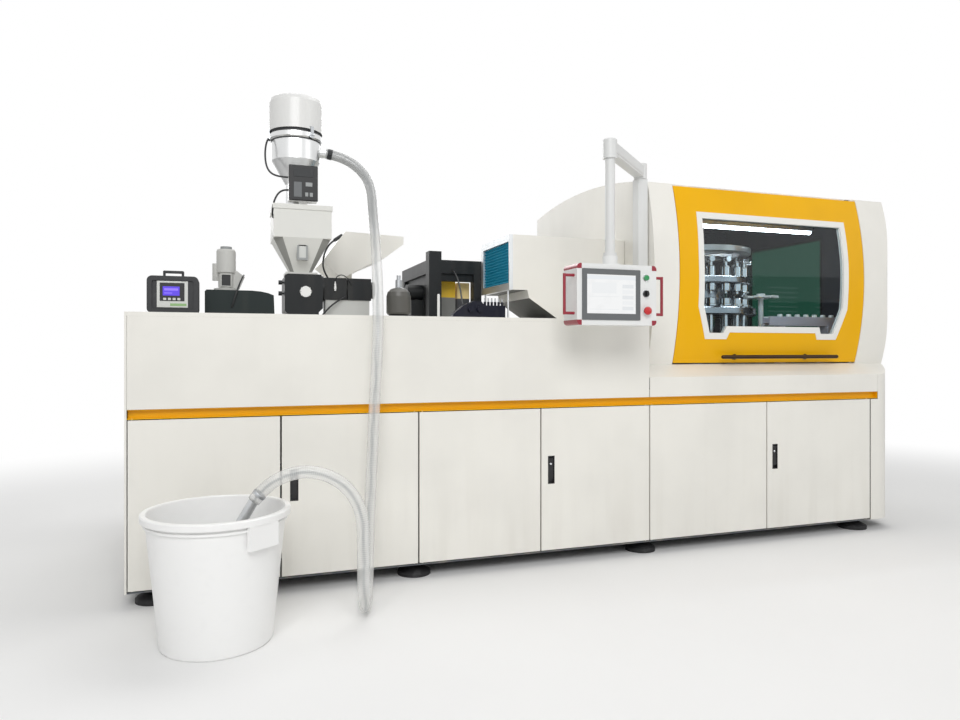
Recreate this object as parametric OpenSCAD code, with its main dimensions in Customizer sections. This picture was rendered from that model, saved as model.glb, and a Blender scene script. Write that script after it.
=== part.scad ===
// Cap compression moulding machine: cabinet, moulding housing, rotary carousel, pendant and feed line.
// Every module works from the front left corner of the machine at floor level, in millimetres.

/* [Cabinet] */
// Length from end to end
machine_length = 4250; // [4200:10:4350]
// Depth from the fascia face to the rear covers
machine_depth = 1600; // [1580:10:1700]
// Underside of the door leaves and covers
panel_bottom = 70; // [66:1:76]
// Underside of the orange trim channel
channel_bottom = 790; // [770:5:800]
// Height of the orange trim channel
channel_height = 40; // [36:1:46]
// Top of the feed deck
deck_height = 1240; // [1230:2:1260]
// Height of the ledge under the moulding housing
ledge_height = 1000; // [994:1:1008]
// Drop of the sloped ledge from the housing to the fascia
ledge_drop = 65; // [60:1:70]
// Where the feed side meets the moulding side
split_x = 2515; // [2505:1:2520]
// Gap between neighbouring door leaves
door_gap = 8; // [7:0.5:9]
// Depth of a folded door leaf
door_depth = 22; // [20:1:24]
// Sheet thickness of doors and covers
sheet = 2; // [1.6:0.1:2.2]
// Radius of the rounded right front corner
corner_radius = 150; // [140:2:156]
// Width of the square frame tube
tube = 60; // [56:1:62]
// Radius of a levelling foot
foot_radius = 80; // [70:1:84]

/* [Door locks] */
// Width of a flush lock dish
lock_width = 30; // [28:1:34]
// Height of a flush lock dish
lock_height = 134; // [124:1:140]
// Depth of a flush lock dish
lock_depth = 13; // [12:0.5:15]

/* [Moulding housing] */
// Left side of the housing
housing_left = 2570; // [2568:1:2576]
// Rise of the arched roof above the ledge
housing_rise = 1100; // [1090:2:1110]
// How far the barrel front stands out at half height
front_bulge = 72; // [66:1:76]
// Radius of the roof arch
roof_radius = 3600; // [3500:20:3800]
// Thickness of the housing sheets
wall = 4; // [3:0.5:4]
// Radius of the right front corner of the housing
end_radius = 50; // [40:1:60]
// Width of the front strip left of the safety door
left_strip = 157; // [152:1:164]
// Width of the front strip right of the safety door
right_strip = 214; // [208:1:220]
// Depth of the safety door
safety_depth = 30; // [26:1:32]
// Width of the white window seal
seal_width = 35; // [30:1:38]
// Thickness of the window pane
pane_thickness = 6; // [5:0.5:8]
// Radius of the bar handle
bar_radius = 11; // [10:0.5:12]

/* [Carousel] */
// Number of moulding stations
stations = 20; // [16:2:20]
// Radius of the ring of stations
pitch_radius = 320; // [316:1:326]
// Radius of a lower mould body
mould_radius = 34; // [30:1:36]
// Pockets in the take-off star
star_pockets = 6; // [5:1:6]

/* [Operator pendant] */
// Width of the operator panel
panel_width = 424; // [416:1:430]
// Height of the operator panel
panel_height = 287; // [280:1:294]
// Depth of the operator panel
panel_depth = 140; // [132:1:144]
// Side of the square column
column_side = 58; // [54:1:60]
// Radius of the drop tube
drop_radius = 24; // [22:0.5:26]

/* [Feed line] */
// Width of the square hopper
hopper_width = 280; // [270:1:290]
// Radius of the loader receiver
receiver_radius = 121; // [118:1:124]
// Radius of the loader head cover
head_radius = 132; // [128:1:136]
// Radius of the heated barrel cover
barrel_radius = 56; // [52:1:58]
// Radius of the accumulator bottle
bottle_radius = 62; // [58:1:64]

/* [Material tub and hose] */
// Diameter of the suction hose
hose_diameter = 50; // [46:1:52]
// Height of the tub
tub_height = 490; // [480:1:500]
// Radius of the tub at its base
tub_base_radius = 200; // [196:1:204]
// Radius of the rolled rim
tub_rim_radius = 265; // [260:1:268]

/* [Hidden] */
$fn = 48;
// Running clearance of pins, sockets and shafts
clearance = 0.3;
// Root gap of a weld between two frame tubes
weld_gap = 0.2;
// Space that a boolean cut runs past a face
past = 1;

// Tub centre, which also sets the front of the part
tub_x = 370;
tub_y = -450;
middle_y = (machine_depth + tub_y - tub_rim_radius) / 2;

// Door leaves
post_y = 31;
end_sheet = 9;
frame_start = end_sheet + weld_gap;
flange = 4;
door_bottom = panel_bottom + 4;
door_top = channel_bottom - 4;
door_end = machine_length - 210;
half = split_x / 4;
bearer_places = [640, 960];
wide = (door_end - split_x) / 2;
door_edges = [end_sheet, half, 2 * half, 3 * half, split_x, split_x + wide, door_end];
pivot_inset = 15;
pivot_radius = 4;
pivot_y = door_depth / 2;
sill = 6;
channel_top = channel_bottom + channel_height;
function leaf_start(n) = door_edges[n] + door_gap / 2;
function leaf_end(n) = door_edges[n + 1] - door_gap / 2;
function hinged_left(n) = n % 2 == 0;
function pivot_x(n) = hinged_left(n) ? leaf_start(n) + pivot_inset : leaf_end(n) - pivot_inset;

// Locks
lock_middle = 477;
lock_inset = 57 - door_gap / 2;
lock_wall = 2;
lever_pin = 3;
function lock_x(n) = leaf_start(n) + lock_inset;

// Housing surfaces
housing_edge = 110;
housing_half = 500;
housing_top = ledge_height + housing_rise;
front_radius = (housing_half * housing_half + front_bulge * front_bulge) / (2 * front_bulge);
front_face = housing_edge - front_bulge;
front_axis_y = front_face + front_radius;
front_axis_z = ledge_height + housing_half;
roof_y = 950;
roof_axis_z = housing_top - roof_radius;
table_top = ledge_height - 2;
table_thickness = 23;
safety_left = housing_left + left_strip;
safety_right = machine_length - right_strip;
seal_x = (safety_left + safety_right) / 2;
stretch = (safety_right - safety_left) / 1309;
cut_edge = 188;
hinge_y = 158;
hinge_z = ledge_height + 985;
hinge_radius = 6;
hinge_places = [seal_x - 530 * stretch, seal_x, seal_x + 530 * stretch];
safety_gap = 4;
seal_lip = 3;
frame_step = split_x - 5;

// Carousel
axis_x = seal_x - 41.5 * stretch;
axis_y = 760;
column_radius = 70;
lower_plate = ledge_height + 300;
upper_plate = ledge_height + 500;
plate_radius = pitch_radius + 62;
star_radius = star_pockets * pitch_radius / stations;
star_angle = -45;
star_z = ledge_height + 413;
star_x = axis_x + (pitch_radius + star_radius) * cos(star_angle);
star_y = axis_y + (pitch_radius + star_radius) * sin(star_angle);

// Pendant
swivel_x = housing_left - 36;
swivel_y = 124;
panel_x = 2142;
panel_y = -240;
column_top = deck_height + 770;
arm_z = column_top + 40;
arm_length = sqrt(pow(panel_x - swivel_x, 2) + pow(panel_y - swivel_y, 2));
arm_angle = atan2(panel_y - swivel_y, panel_x - swivel_x);
panel_bottom_z = deck_height - 43;
panel_top_z = panel_bottom_z + panel_height;
panel_front = panel_y - panel_depth / 2;
panel_left = panel_x - panel_width / 2;
socket_height = 46;
notch = 23;
control_x = panel_left + panel_width - 58;
start_z = panel_bottom_z + 228;
select_z = panel_bottom_z + 152;
stop_z = panel_bottom_z + 70;

// Feed line
barrel_y = 490;
barrel_z = deck_height + 155;
feed_left = 672;
feed_width = 186;
feed_top = deck_height + 220;
hopper_x = 757;
funnel_bottom = feed_top + 12;
funnel_top = feed_top + 177;
box_top = feed_top + 316;
lid_top = box_top + 24;
receiver_height = 336;
loader_x = 735;
spigot_z = deck_height + 860;
spigot_end = loader_x + receiver_radius + 29;
hood_left = 1876;
hood_right = housing_left - 2;
hood_front = 350;
hood_back = 812;
hood_bottom = deck_height + 170;
hood_top = deck_height + 472;

// Suction hose route, from the loader spigot to the lance
hose_points = [
    [spigot_end, barrel_y, spigot_z], [970, 483, deck_height + 845], [1042, 462, deck_height + 801],
    [1090, 431, deck_height + 737], [1107, 395, deck_height + 660], [1101, 336, deck_height + 550],
    [1097, 248, deck_height + 405], [1086, 150, deck_height + 265], [1069, 38, deck_height + 134],
    [1054, -54, deck_height - 10], [1042, -96, 1080], [1030, -104, 910], [1020, -105, 690],
    [1010, -105, 470], [1000, -105, 240], [993, -134, 129], [975, -214, 47], [950, -322, 17],
    [925, -431, 47], [907, -511, 129], [900, -540, 240], [900, -540, 323], [900, -540, 406],
    [885, -530, 484], [843, -520, 552], [778, -510, 599], [701, -500, 620], [622, -490, 611],
    [551, -480, 574], [499, -470, 513]
];
hose_steps = 2;
hose_sides = 12;
lance_end = [205, -455, 15];

module at_corner() {
    translate([-machine_length / 2, -middle_y, 0]) children();
}

module block(from, to) {
    translate(from) cube(to - from);
}

module rod_x(from, radius, length) {
    translate(from) rotate([0, 90, 0]) cylinder(r = radius, h = length);
}

module rod_y(from, radius, length) {
    translate(from) rotate([-90, 0, 0]) cylinder(r = radius, h = length);
}

module rod_z(from, radius, length) {
    translate(from) cylinder(r = radius, h = length);
}

// Outline in X and Z carried from y0 to y1
module prism_y(outline, y0, y1) {
    translate([0, y1, 0]) rotate([90, 0, 0]) linear_extrude(y1 - y0) polygon(outline);
}

// Outline in Y and Z carried from x0 to x1
module prism_x(outline, x0, x1) {
    translate([x0, 0, 0]) rotate([90, 0, 90]) linear_extrude(x1 - x0) polygon(outline);
}

// Box with rounded edges along Y
module rounded_block(from, to, radius) {
    size = to - from;
    block(from + [radius, 0, 0], to - [radius, 0, 0]);
    block(from + [0, 0, radius], to - [0, 0, radius]);
    for (x = [radius, size[0] - radius], z = [radius, size[2] - radius])
        rod_y(from + [x, 0, z], radius, size[1]);
}

// Outline moved inwards by a distance, its points running clockwise as seen from the front
function unit(v) = v / norm(v);
function inward(a, b) = let (d = unit(b - a)) [d[1], -d[0]];
function inset_point(p, q, r, distance) =
    let (n = inward(p, q), m = inward(q, r))
    q + distance * (n + m) / (1 + n * m);
function inset(points, distance) =
    let (last = len(points))
    [for (i = [0 : last - 1])
        inset_point(points[(i + last - 1) % last], points[i], points[(i + 1) % last], distance)];

// Square tube with an open bore, along the axis named by its longest side
module frame_tube(from, to) {
    size = to - from;
    skin = 4;
    long = max(size[0], size[1], size[2]);
    cut = [for (s = size) s == long ? past : -skin];
    difference() {
        block(from, to);
        block(from - cut, to + cut);
    }
}

module base_frame() {
    back = machine_depth - sheet * 3;
    right = machine_length - corner_radius - 10;
    post_places = [frame_start, half * 2 - tube / 2, frame_step - tube, right - tube];
    low = panel_bottom;
    low_top = low + tube;
    deck_rail = deck_height - flange;
    table_rail = table_top - table_thickness;
    front_rail = ledge_height - ledge_drop - 7;
    for (y = [post_y, back - tube])
        frame_tube([frame_start, y, low], [right, y + tube, low_top]);
    for (x = post_places)
        frame_tube([x, post_y + tube + weld_gap, low], [x + tube, back - tube - weld_gap, low_top]);
    for (x = [post_places[0], post_places[1], post_places[2]], y = [post_y, back - tube])
        frame_tube([x, y, low_top + weld_gap], [x + tube, y + tube, deck_rail - tube - weld_gap]);
    for (y = [post_y, back - tube]) {
        rail = y == post_y ? front_rail : table_rail;
        frame_tube([post_places[3], y, low_top + weld_gap], [right, y + tube, rail - tube - weld_gap]);
        frame_tube([frame_start, y, deck_rail - tube], [frame_step, y + tube, deck_rail]);
        frame_tube([frame_step + weld_gap, y, rail - tube], [right, y + tube, rail]);
    }
    for (x = [post_places[0], post_places[1], post_places[2]])
        frame_tube([x, post_y + tube + weld_gap, deck_rail - tube],
            [x + tube, back - tube - weld_gap, deck_rail]);
    for (x = [axis_x - 260, axis_x + 200, post_places[3]])
        frame_tube([x, post_y + tube + weld_gap, table_rail - tube],
            [x + tube, back - tube - weld_gap, table_rail]);
    for (y = bearer_places)
        frame_tube([post_places[0] + tube + weld_gap, y, low], [post_places[1] - weld_gap, y + tube, low_top]);
    block([housing_left, housing_edge + 10, table_rail], [right, back, table_top]);
    for (y = [0, machine_depth - 160])
        difference() {
            block([frame_start, y + 2, low - sill], [right, y + 158, low - weld_gap]);
            if (y == 0)
                for (n = [0 : 5])
                    rod_z([pivot_x(n), pivot_y, low - sill - past], pivot_radius + clearance, sill + 2 * past);
        }
}

module levelling_feet() {
    pad = 16;
    stud = 12;
    top = panel_bottom - sill;
    right = machine_length - corner_radius - 10;
    profile = [[0, 0], [foot_radius, 0], [foot_radius, pad], [foot_radius - 6, pad + 6], [40, 38],
        [24, 42], [24, top - 14], [20, top - 12], [stud, top - 12], [stud, top], [0, top]];
    color([0.1, 0.1, 0.1])
    for (x = [110, 2 * half, split_x, right - 90], y = [95, machine_depth - 95])
        translate([x, y, 0]) rotate_extrude() polygon(profile);
}

module deck_plate() {
    lip = 18;
    notch = 88;
    right = housing_left - 1;
    color([0.92, 0.91, 0.88])
    difference() {
        union() {
            block([0, 0, deck_height - flange], [right, machine_depth, deck_height]);
            block([0, 0, deck_height - lip], [split_x - 2, sheet, deck_height]);
            block([0, 0, deck_height - lip], [sheet, machine_depth, deck_height]);
        }
        block([split_x - 2, -past, deck_height - lip - past], [right + past, notch, deck_height + past]);
    }
}

// Folded sheet tray whose open side faces the back
module tray(from, to) {
    fold = sheet;
    difference() {
        block(from, to);
        block(from + [fold, fold, fold], to + [-fold, past, -fold]);
    }
}

module left_fascia() {
    right = split_x - 2;
    back = machine_depth - 3 * sheet - 1;
    color([0.92, 0.91, 0.88]) {
        tray([end_sheet + 1, 0, channel_top + 1], [right, post_y - weld_gap, deck_height - 18 - weld_gap]);
        block([right - sheet, post_y, ledge_height + 1], [right, back, deck_height - flange - weld_gap]);
    }
}

module right_fascia() {
    right = machine_length - corner_radius - 2;
    top = ledge_height;
    profile = [[0, channel_top + 1], [post_y - weld_gap, channel_top + 1], [post_y - weld_gap, channel_top + 1 + sheet],
        [sheet, channel_top + 1 + sheet], [sheet, top - ledge_drop - sheet / 2], [housing_edge, top - sheet],
        [housing_edge + 32, top - sheet], [housing_edge + 32, top], [housing_edge, top], [0, top - ledge_drop]];
    color([0.92, 0.91, 0.88])
    prism_x(profile, split_x + 2, right);
}

module trim_channel() {
    web = post_y - 4;
    right = machine_length - corner_radius - 2;
    profile = [[2, channel_bottom], [post_y, channel_bottom], [post_y, channel_top], [2, channel_top],
        [2, channel_top - 2], [web, channel_top - 2], [web, channel_bottom + flange],
        [2, channel_bottom + flange]];
    color([0.92, 0.67, 0.1])
    difference() {
        union() {
            prism_x(profile, end_sheet + 1, right);
            block([right - 2, 2, channel_bottom], [right, post_y, channel_top]);
        }
        for (n = [0 : 5])
            rod_z([pivot_x(n), pivot_y, channel_bottom - past], pivot_radius + clearance, flange + 2 * past);
    }
}

module left_end_panel() {
    low = panel_bottom - sill;
    color([0.92, 0.91, 0.88])
    difference() {
        block([0, 0, low], [end_sheet, machine_depth, deck_height - 18 - weld_gap]);
        block([sheet, sheet, low + sheet], [end_sheet + past, machine_depth - sheet, deck_height - 18 - 2 * sheet]);
    }
}

module rear_covers() {
    depth = 3 * sheet;
    back = machine_depth;
    low = panel_bottom;
    right = machine_length - corner_radius - 10;
    edges = [end_sheet + 1, 2 * half, split_x, right];
    tops = [deck_height - flange, deck_height - flange, table_top - weld_gap];
    color([0.9, 0.89, 0.86]) {
        for (i = [0 : 2])
            difference() {
                block([edges[i] + 1, back - depth, low], [edges[i + 1] - 1, back, tops[i]]);
                block([edges[i] + 1 + sheet, back - depth - past, low + sheet],
                    [edges[i + 1] - 1 - sheet, back - sheet, tops[i] - sheet]);
            }
        block([split_x + 1, back - depth, table_top + 1], [housing_left - 1, back, deck_height - flange]);
    }
}

// Plan of the right end with its rounded front corner, drawn in by a distance
module end_plan(left, front, low, high, drawn, radius) {
    right = machine_length - drawn;
    corner = [machine_length - radius, front + radius];
    block([left, front + drawn, low], [corner[0], machine_depth - drawn, high]);
    block([left, corner[1], low], [right, machine_depth - drawn, high]);
    rod_z([corner[0], corner[1], low], radius - drawn, high - low);
}

module front_fascias() {
    left_fascia();
    right_fascia();
}

module fixed_covers() {
    left_end_panel();
    rear_covers();
    housing_rear();
}

module right_end_cover() {
    low = panel_bottom - sill;
    front_end = machine_length - corner_radius;
    fall = ledge_drop / housing_edge;
    top = table_top;
    back = machine_depth + 10;
    under = [[-10, low - 10], [-10, top - ledge_drop - 10 * fall], [housing_edge, top], [back, top], [back, low - 10]];
    inner = [for (p = under) p - [0, 3]];
    color([0.92, 0.91, 0.88])
    difference() {
        intersection() {
            end_plan(door_end + door_gap / 2, 0, low, top, 0, corner_radius);
            prism_x(under, door_end, machine_length + past);
        }
        intersection() {
            end_plan(0, 0, low - past, top, sheet, corner_radius);
            prism_x(inner, door_end - past, machine_length);
        }
        block([0, -past, door_top], [front_end, post_y, top + past]);
        block([0, post_y, low - past], [front_end, machine_depth + past, top + past]);
    }
}

module drive_motors() {
    foot = panel_bottom + tube;
    shaft = foot + 170;
    x = 330;
    y = (bearer_places[0] + bearer_places[1] + tube) / 2;
    gear_top = table_top - table_thickness;
    gear = [[0, gear_top - 420], [80, gear_top - 420], [86, gear_top - 410], [86, gear_top - 190], [110, gear_top - 180],
        [140, gear_top - 160], [140, gear_top - 24], [180, gear_top - 20], [180, gear_top], [0, gear_top]];
    color([0.24, 0.32, 0.4])
    union() {
        block([x + 60, bearer_places[0], foot], [x + 460, bearer_places[1] + tube, foot + 22]);
        difference() {
            rod_x([x, y, shaft], 150, 420);
            for (a = [0 : 15 : 345])
                translate([x + 120, y, shaft]) rotate([a, 0, 0]) block([0, -4, 136], [250, 4, 160]);
        }
        rod_x([x + 419, y, shaft], 118, 100);
        rod_x([x + 518, y, shaft], 28, 70);
        block([x + 100, y - 110, foot + 21], [x + 400, y + 110, shaft]);
        translate([axis_x, axis_y, 0]) rotate_extrude($fn = 72) polygon(gear);
    }
}

module control_plate() {
    y = 520;
    left = 2 * half - 20;
    right = frame_step;
    low = panel_bottom + tube;
    high = deck_height - 140;
    color([0.75, 0.76, 0.76])
    union() {
        block([left, y, low], [right, y + 4, high]);
        for (i = [0 : 4])
            block([left + 120 + i * 210, y - 150, high - 330], [left + 290 + i * 210, y + 1, high - 60]);
        for (i = [0 : 11])
            block([left + 110 + i * 90, y - 80, high - 560], [left + 180 + i * 90, y + 1, high - 440]);
        for (z = [high - 390, high - 620])
            block([left + 80, y - 60, z], [right - 80, y + 1, z + 40]);
    }
}

module cabinet_door(n) {
    x0 = leaf_start(n);
    x1 = leaf_end(n);
    boss = 2 * pivot_inset;
    lock_low = lock_middle - lock_height / 2;
    lx = lock_x(n) - lock_width / 2;
    color([0.92, 0.91, 0.88])
    difference() {
        union() {
            tray([x0, 0, door_bottom], [x1, door_depth, door_top]);
            for (z = [door_bottom, door_top - 30])
                block([pivot_x(n) - boss / 2 + sheet, sheet, z],
                    [pivot_x(n) + boss / 2 - sheet, door_depth, z + 30]);
            rod_z([pivot_x(n), pivot_y, panel_bottom - sill], pivot_radius, 20);
            rod_z([pivot_x(n), pivot_y, door_top - 12], pivot_radius, 16 + flange);
            if (!hinged_left(n))
                block([lx - lock_wall, 0, lock_low - lock_wall],
                    [lx + lock_width + lock_wall, lock_depth + lock_wall, lock_low + lock_height + lock_wall]);
        }
        if (!hinged_left(n)) {
            block([lx, -past, lock_low], [lx + lock_width, lock_depth, lock_low + lock_height]);
            rod_x([lx - lock_wall - past, lock_depth / 2, lock_low + lock_height - 12],
                lever_pin + 0.05, lock_width + 2 * lock_wall + 2 * past);
        }
    }
}

module lock_lever(n) {
    side = 2;
    thick = 7;
    middle = lock_depth / 2;
    pin_z = lock_middle + lock_height / 2 - 12;
    low = lock_middle - lock_height / 2 + 18;
    left = lock_x(n) - lock_width / 2;
    color([0.09, 0.09, 0.1])
    difference() {
        union() {
            rounded_block([left + side, middle - thick / 2, low], [left + lock_width - side, middle + thick / 2, pin_z], 6);
            rod_x([left + side, middle, pin_z], thick / 2 + 1, lock_width - 2 * side);
            rod_x([left - lock_wall + 0.2, middle, pin_z], lever_pin, lock_width + 2 * lock_wall - 0.4);
        }
        rod_y([left + lock_width / 2, middle - thick / 2 - past, pin_z - 26], 6, 3);
    }
}

module front_drum(drawn) {
    translate([housing_left - 10, front_axis_y, front_axis_z]) rotate([0, 90, 0])
        cylinder(r = front_radius - drawn, h = machine_length - housing_left + 20, $fn = 720);
}

module roof_drum(drawn) {
    translate([housing_left - 10, roof_y, roof_axis_z]) rotate([0, 90, 0])
        cylinder(r = roof_radius - drawn, h = machine_length - housing_left + 20, $fn = 720);
}

// Space inside the housing skin, drawn in by a distance
module housing_space(left, right, drawn, low) {
    intersection() {
        front_drum(drawn);
        block([left, 0, low], [right, machine_depth, housing_top + 10]);
    }
}

// Edge of the front strip folded back beside the safety door
module door_jamb(from_x) {
    intersection() {
        difference() {
            front_drum(0);
            front_drum(45);
        }
        block([from_x, 0, ledge_height], [from_x + wall, 200, housing_top]);
        roof_drum(wall + weld_gap);
    }
}

module housing_side() {
    step = housing_edge + 33;
    back = machine_depth - wall - weld_gap;
    color([0.93, 0.92, 0.89])
    difference() {
        union() {
            intersection() {
                difference() {
                    housing_space(housing_left, safety_left, 0, table_top);
                    housing_space(housing_left + wall, safety_left + past, wall, table_top - past);
                }
                roof_drum(wall + weld_gap);
                block([0, 0, 0], [machine_length, back, housing_top]);
            }
            door_jamb(safety_left - wall);
        }
        block([0, 0, 0], [machine_length, step, ledge_height]);
    }
}

module housing_end() {
    step = housing_edge + 33;
    back = machine_depth - wall - weld_gap;
    inner = safety_right - past;
    color([0.93, 0.92, 0.89])
    difference() {
        union() {
            intersection() {
                difference() {
                    intersection() {
                        housing_space(safety_right, machine_length, 0, table_top);
                        end_plan(safety_right, front_face, 0, housing_top, 0, end_radius);
                    }
                    intersection() {
                        housing_space(inner, machine_length, wall, 0);
                        end_plan(inner, front_face, 0, housing_top + past, wall, end_radius);
                    }
                }
                roof_drum(wall + weld_gap);
                block([0, 0, 0], [machine_length, back, housing_top]);
            }
            door_jamb(safety_right);
        }
        block([0, 0, 0], [machine_length - corner_radius, step, ledge_height]);
        block([machine_length - wall - past, 600, ledge_height + 200],
            [machine_length + past, 1280, ledge_height + 830]);
    }
}

module end_window() {
    edge = 20;
    color([0.35, 0.55, 0.45, 0.5])
    block([machine_length - wall - pane_thickness, 600 - edge, ledge_height + 200 - edge],
        [machine_length - wall, 1280 + edge, ledge_height + 830 + edge]);
}

module hinge_lug(x, length, towards) {
    rod_x([x, hinge_y, hinge_z], hinge_radius + 5, length);
    block([x, min(hinge_y, towards), hinge_z - 5], [x + length, max(hinge_y, towards), hinge_z + 5]);
}

module housing_roof() {
    lug = 30;
    color([0.93, 0.92, 0.89])
    difference() {
        union() {
            difference() {
                intersection() {
                    difference() {
                        roof_drum(0);
                        roof_drum(wall);
                    }
                    front_drum(0);
                    end_plan(housing_left, front_face, 0, housing_top + 10, 0, end_radius);
                }
                block([safety_left, 0, 0], [safety_right, cut_edge, housing_top]);
            }
            intersection() {
                block([safety_left + past, cut_edge, hinge_z - 6], [safety_right - past, cut_edge + wall, housing_top]);
                roof_drum(wall / 2);
            }
            for (x = hinge_places, side = [-1, 1])
                hinge_lug(x - lug / 2 + side * (lug + 1), lug, cut_edge + wall);
        }
        for (x = hinge_places)
            rod_x([x - 60, hinge_y, hinge_z], hinge_radius + clearance, 120);
    }
}

module hinge_pins() {
    color([0.6, 0.6, 0.62])
    for (x = hinge_places) {
        rod_x([x - 50, hinge_y, hinge_z], hinge_radius, 100);
        rod_x([x - 53, hinge_y, hinge_z], hinge_radius + 3, 3);
    }
}

module housing_rear() {
    color([0.9, 0.89, 0.86])
    difference() {
        intersection() {
            block([housing_left, machine_depth - wall, table_top], [machine_length, machine_depth, housing_top]);
            roof_drum(wall + weld_gap);
        }
        for (i = [0 : 9], side = [0, 1])
            block([axis_x - 340 + side * 500, machine_depth - wall - past, ledge_height + 240 + i * 40],
                [axis_x - 40 + side * 500, machine_depth + past, ledge_height + 252 + i * 40]);
    }
}

// Window outline, clockwise from the upper left as seen from the front
function window_outline() = [for (p = [[-524, 848], [524, 848], [530, 600], [527, 320], [465, 141],
    [322, 141], [306, 179], [-306, 179], [-322, 141], [-465, 141], [-527, 320], [-530, 600]])
    [p[0] * stretch + seal_x, p[1] + ledge_height]];

// Barrel-curved layer between two depths behind the front surface, inside an outline
module curved_layer(outline, from_depth, to_depth) {
    intersection() {
        difference() {
            front_drum(from_depth);
            front_drum(to_depth);
        }
        prism_y(outline, -200, 400);
    }
}

module safety_door() {
    low = ledge_height + 8;
    high = hinge_z + 5;
    x0 = safety_left + safety_gap;
    x1 = safety_right - safety_gap;
    skin = 3;
    edge = [[x0, high], [x1, high], [x1, low], [x0, low]];
    opening = inset(window_outline(), seal_width / 2);
    lug = 30;
    color([0.93, 0.68, 0.1])
    difference() {
        union() {
            difference() {
                curved_layer(edge, 0, safety_depth);
                difference() {
                    curved_layer(inset(edge, 25), skin, safety_depth + 5);
                    prism_y(inset(opening, -28), -200, 400);
                }
            }
            for (x = hinge_places)
                hinge_lug(x - lug / 2, lug, hinge_y - 35);
        }
        prism_y(opening, -200, 400);
        for (x = hinge_places)
            rod_x([x - lug, hinge_y, hinge_z], hinge_radius + clearance, 2 * lug);
    }
}

module window_seal() {
    outer = window_outline();
    opening = inset(outer, seal_width / 2 + 0.2);
    inner = inset(outer, seal_width);
    color([0.92, 0.92, 0.9])
    difference() {
        union() {
            curved_layer(outer, -seal_lip - weld_gap, -weld_gap);
            curved_layer(opening, -seal_lip, safety_depth - 4);
        }
        prism_y(inner, -200, 400);
        curved_layer(inset(outer, seal_width - 8), 12, 12 + pane_thickness);
    }
}

module window_pane() {
    color([0.7, 0.8, 0.85, 0.3])
    curved_layer(inset(window_outline(), seal_width - 7.8), 12.1, 11.9 + pane_thickness);
}

module bar_handle() {
    z = ledge_height + 41;
    out = 48;
    left = seal_x - 359.5 * stretch;
    length = 810 * stretch;
    face = front_axis_y - sqrt(pow(front_radius, 2) - pow(front_axis_z - z, 2));
    color([0.2, 0.17, 0.14])
    difference() {
        union() {
            rod_x([left, face - out, z], bar_radius, length);
            for (x = [left, left + length])
                translate([x, face - out, z]) sphere(r = bar_radius);
            for (x = [left + 110 * stretch, left + 615 * stretch]) {
                rod_y([x, face - out, z], bar_radius - 2, out + 6);
                rod_y([x, face - 6, z], bar_radius + 5, 12);
            }
        }
        front_drum(-weld_gap);
    }
}

module work_light() {
    low = ledge_height + 832;
    left = seal_x - 320 * stretch;
    right = seal_x + 604 * stretch;
    color([0.9, 0.92, 0.95])
    intersection() {
        union() {
            block([left, 392, low + 18], [right, 432, low + 42]);
            rod_x([left + 10, 412, low + 12], 14, right - left - 20);
            for (x = [left + 90, right - 120])
                block([x, 397, low + 41], [x + 30, 427, housing_top]);
        }
        roof_drum(wall + weld_gap);
    }
}

module turret_column() {
    low = table_top;
    top = ledge_height + 760;
    cam = 24;
    column = [[0, low], [250, low], [250, low + 26], [150, low + 60], [120, low + 200], [column_radius, low + 216],
        [column_radius, top], [0, top]];
    color([0.3, 0.32, 0.36])
    translate([axis_x, axis_y, 0]) {
        rotate_extrude($fn = 72) polygon(column);
        difference() {
            rod_z([0, 0, top - 60], pitch_radius + 34, 34);
            rod_z([0, 0, top - 61], pitch_radius - 34, 36);
        }
        for (a = [0 : 60 : 300])
            rotate([0, 0, a]) block([column_radius - 5, -22, top - 50], [pitch_radius - 30, 22, top - 30]);
        difference() {
            rod_z([0, 0, low + 62], pitch_radius + cam, 30);
            rod_z([0, 0, low + 61], pitch_radius - cam, 32);
        }
        for (a = [30 : 60 : 330])
            rotate([0, 0, a]) translate([pitch_radius, 0, low]) cylinder(r = 18, h = 63);
    }
}

module carousel() {
    bore = column_radius + 0.1;
    profile = [[bore, lower_plate - 70], [130, lower_plate - 70], [130, lower_plate], [plate_radius, lower_plate],
        [plate_radius + 8, lower_plate + 8], [plate_radius + 8, lower_plate + 42], [plate_radius, lower_plate + 50],
        [pitch_radius - 70, lower_plate + 50], [210, lower_plate + 70], [210, upper_plate - 20],
        [pitch_radius - 60, upper_plate], [pitch_radius + 46, upper_plate], [pitch_radius + 50, upper_plate + 4],
        [pitch_radius + 50, upper_plate + 36], [pitch_radius + 46, upper_plate + 40], [140, upper_plate + 40],
        [110, upper_plate + 90], [bore, upper_plate + 90]];
    color([0.62, 0.63, 0.65])
    translate([axis_x, axis_y, 0])
    difference() {
        rotate_extrude($fn = 96) polygon(profile);
        for (i = [0 : stations - 1])
            rotate([0, 0, i * 360 / stations]) {
                rod_z([pitch_radius, 0, lower_plate - past], 17, 60);
                rod_z([pitch_radius, 0, upper_plate - past], 17, 60);
                rod_z([245, 0, upper_plate + 10], 12, 40);
            }
    }
}

module lower_moulds() {
    top = lower_plate + 50;
    base = ledge_height + 112;
    profile = [[0, base], [22, base], [22, base + 30], [16, base + 36], [16, top], [mould_radius, top],
        [mould_radius + 8, top + 6], [mould_radius + 8, top + 16], [mould_radius, top + 20],
        [mould_radius, top + 52], [mould_radius - 4, top + 56], [20, top + 56], [20, top + 40], [0, top + 40]];
    color([0.8, 0.81, 0.83])
    translate([axis_x, axis_y, 0])
    for (i = [0 : stations - 1])
        rotate([0, 0, i * 360 / stations]) translate([pitch_radius, 0, 0]) rotate_extrude() polygon(profile);
}

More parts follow.
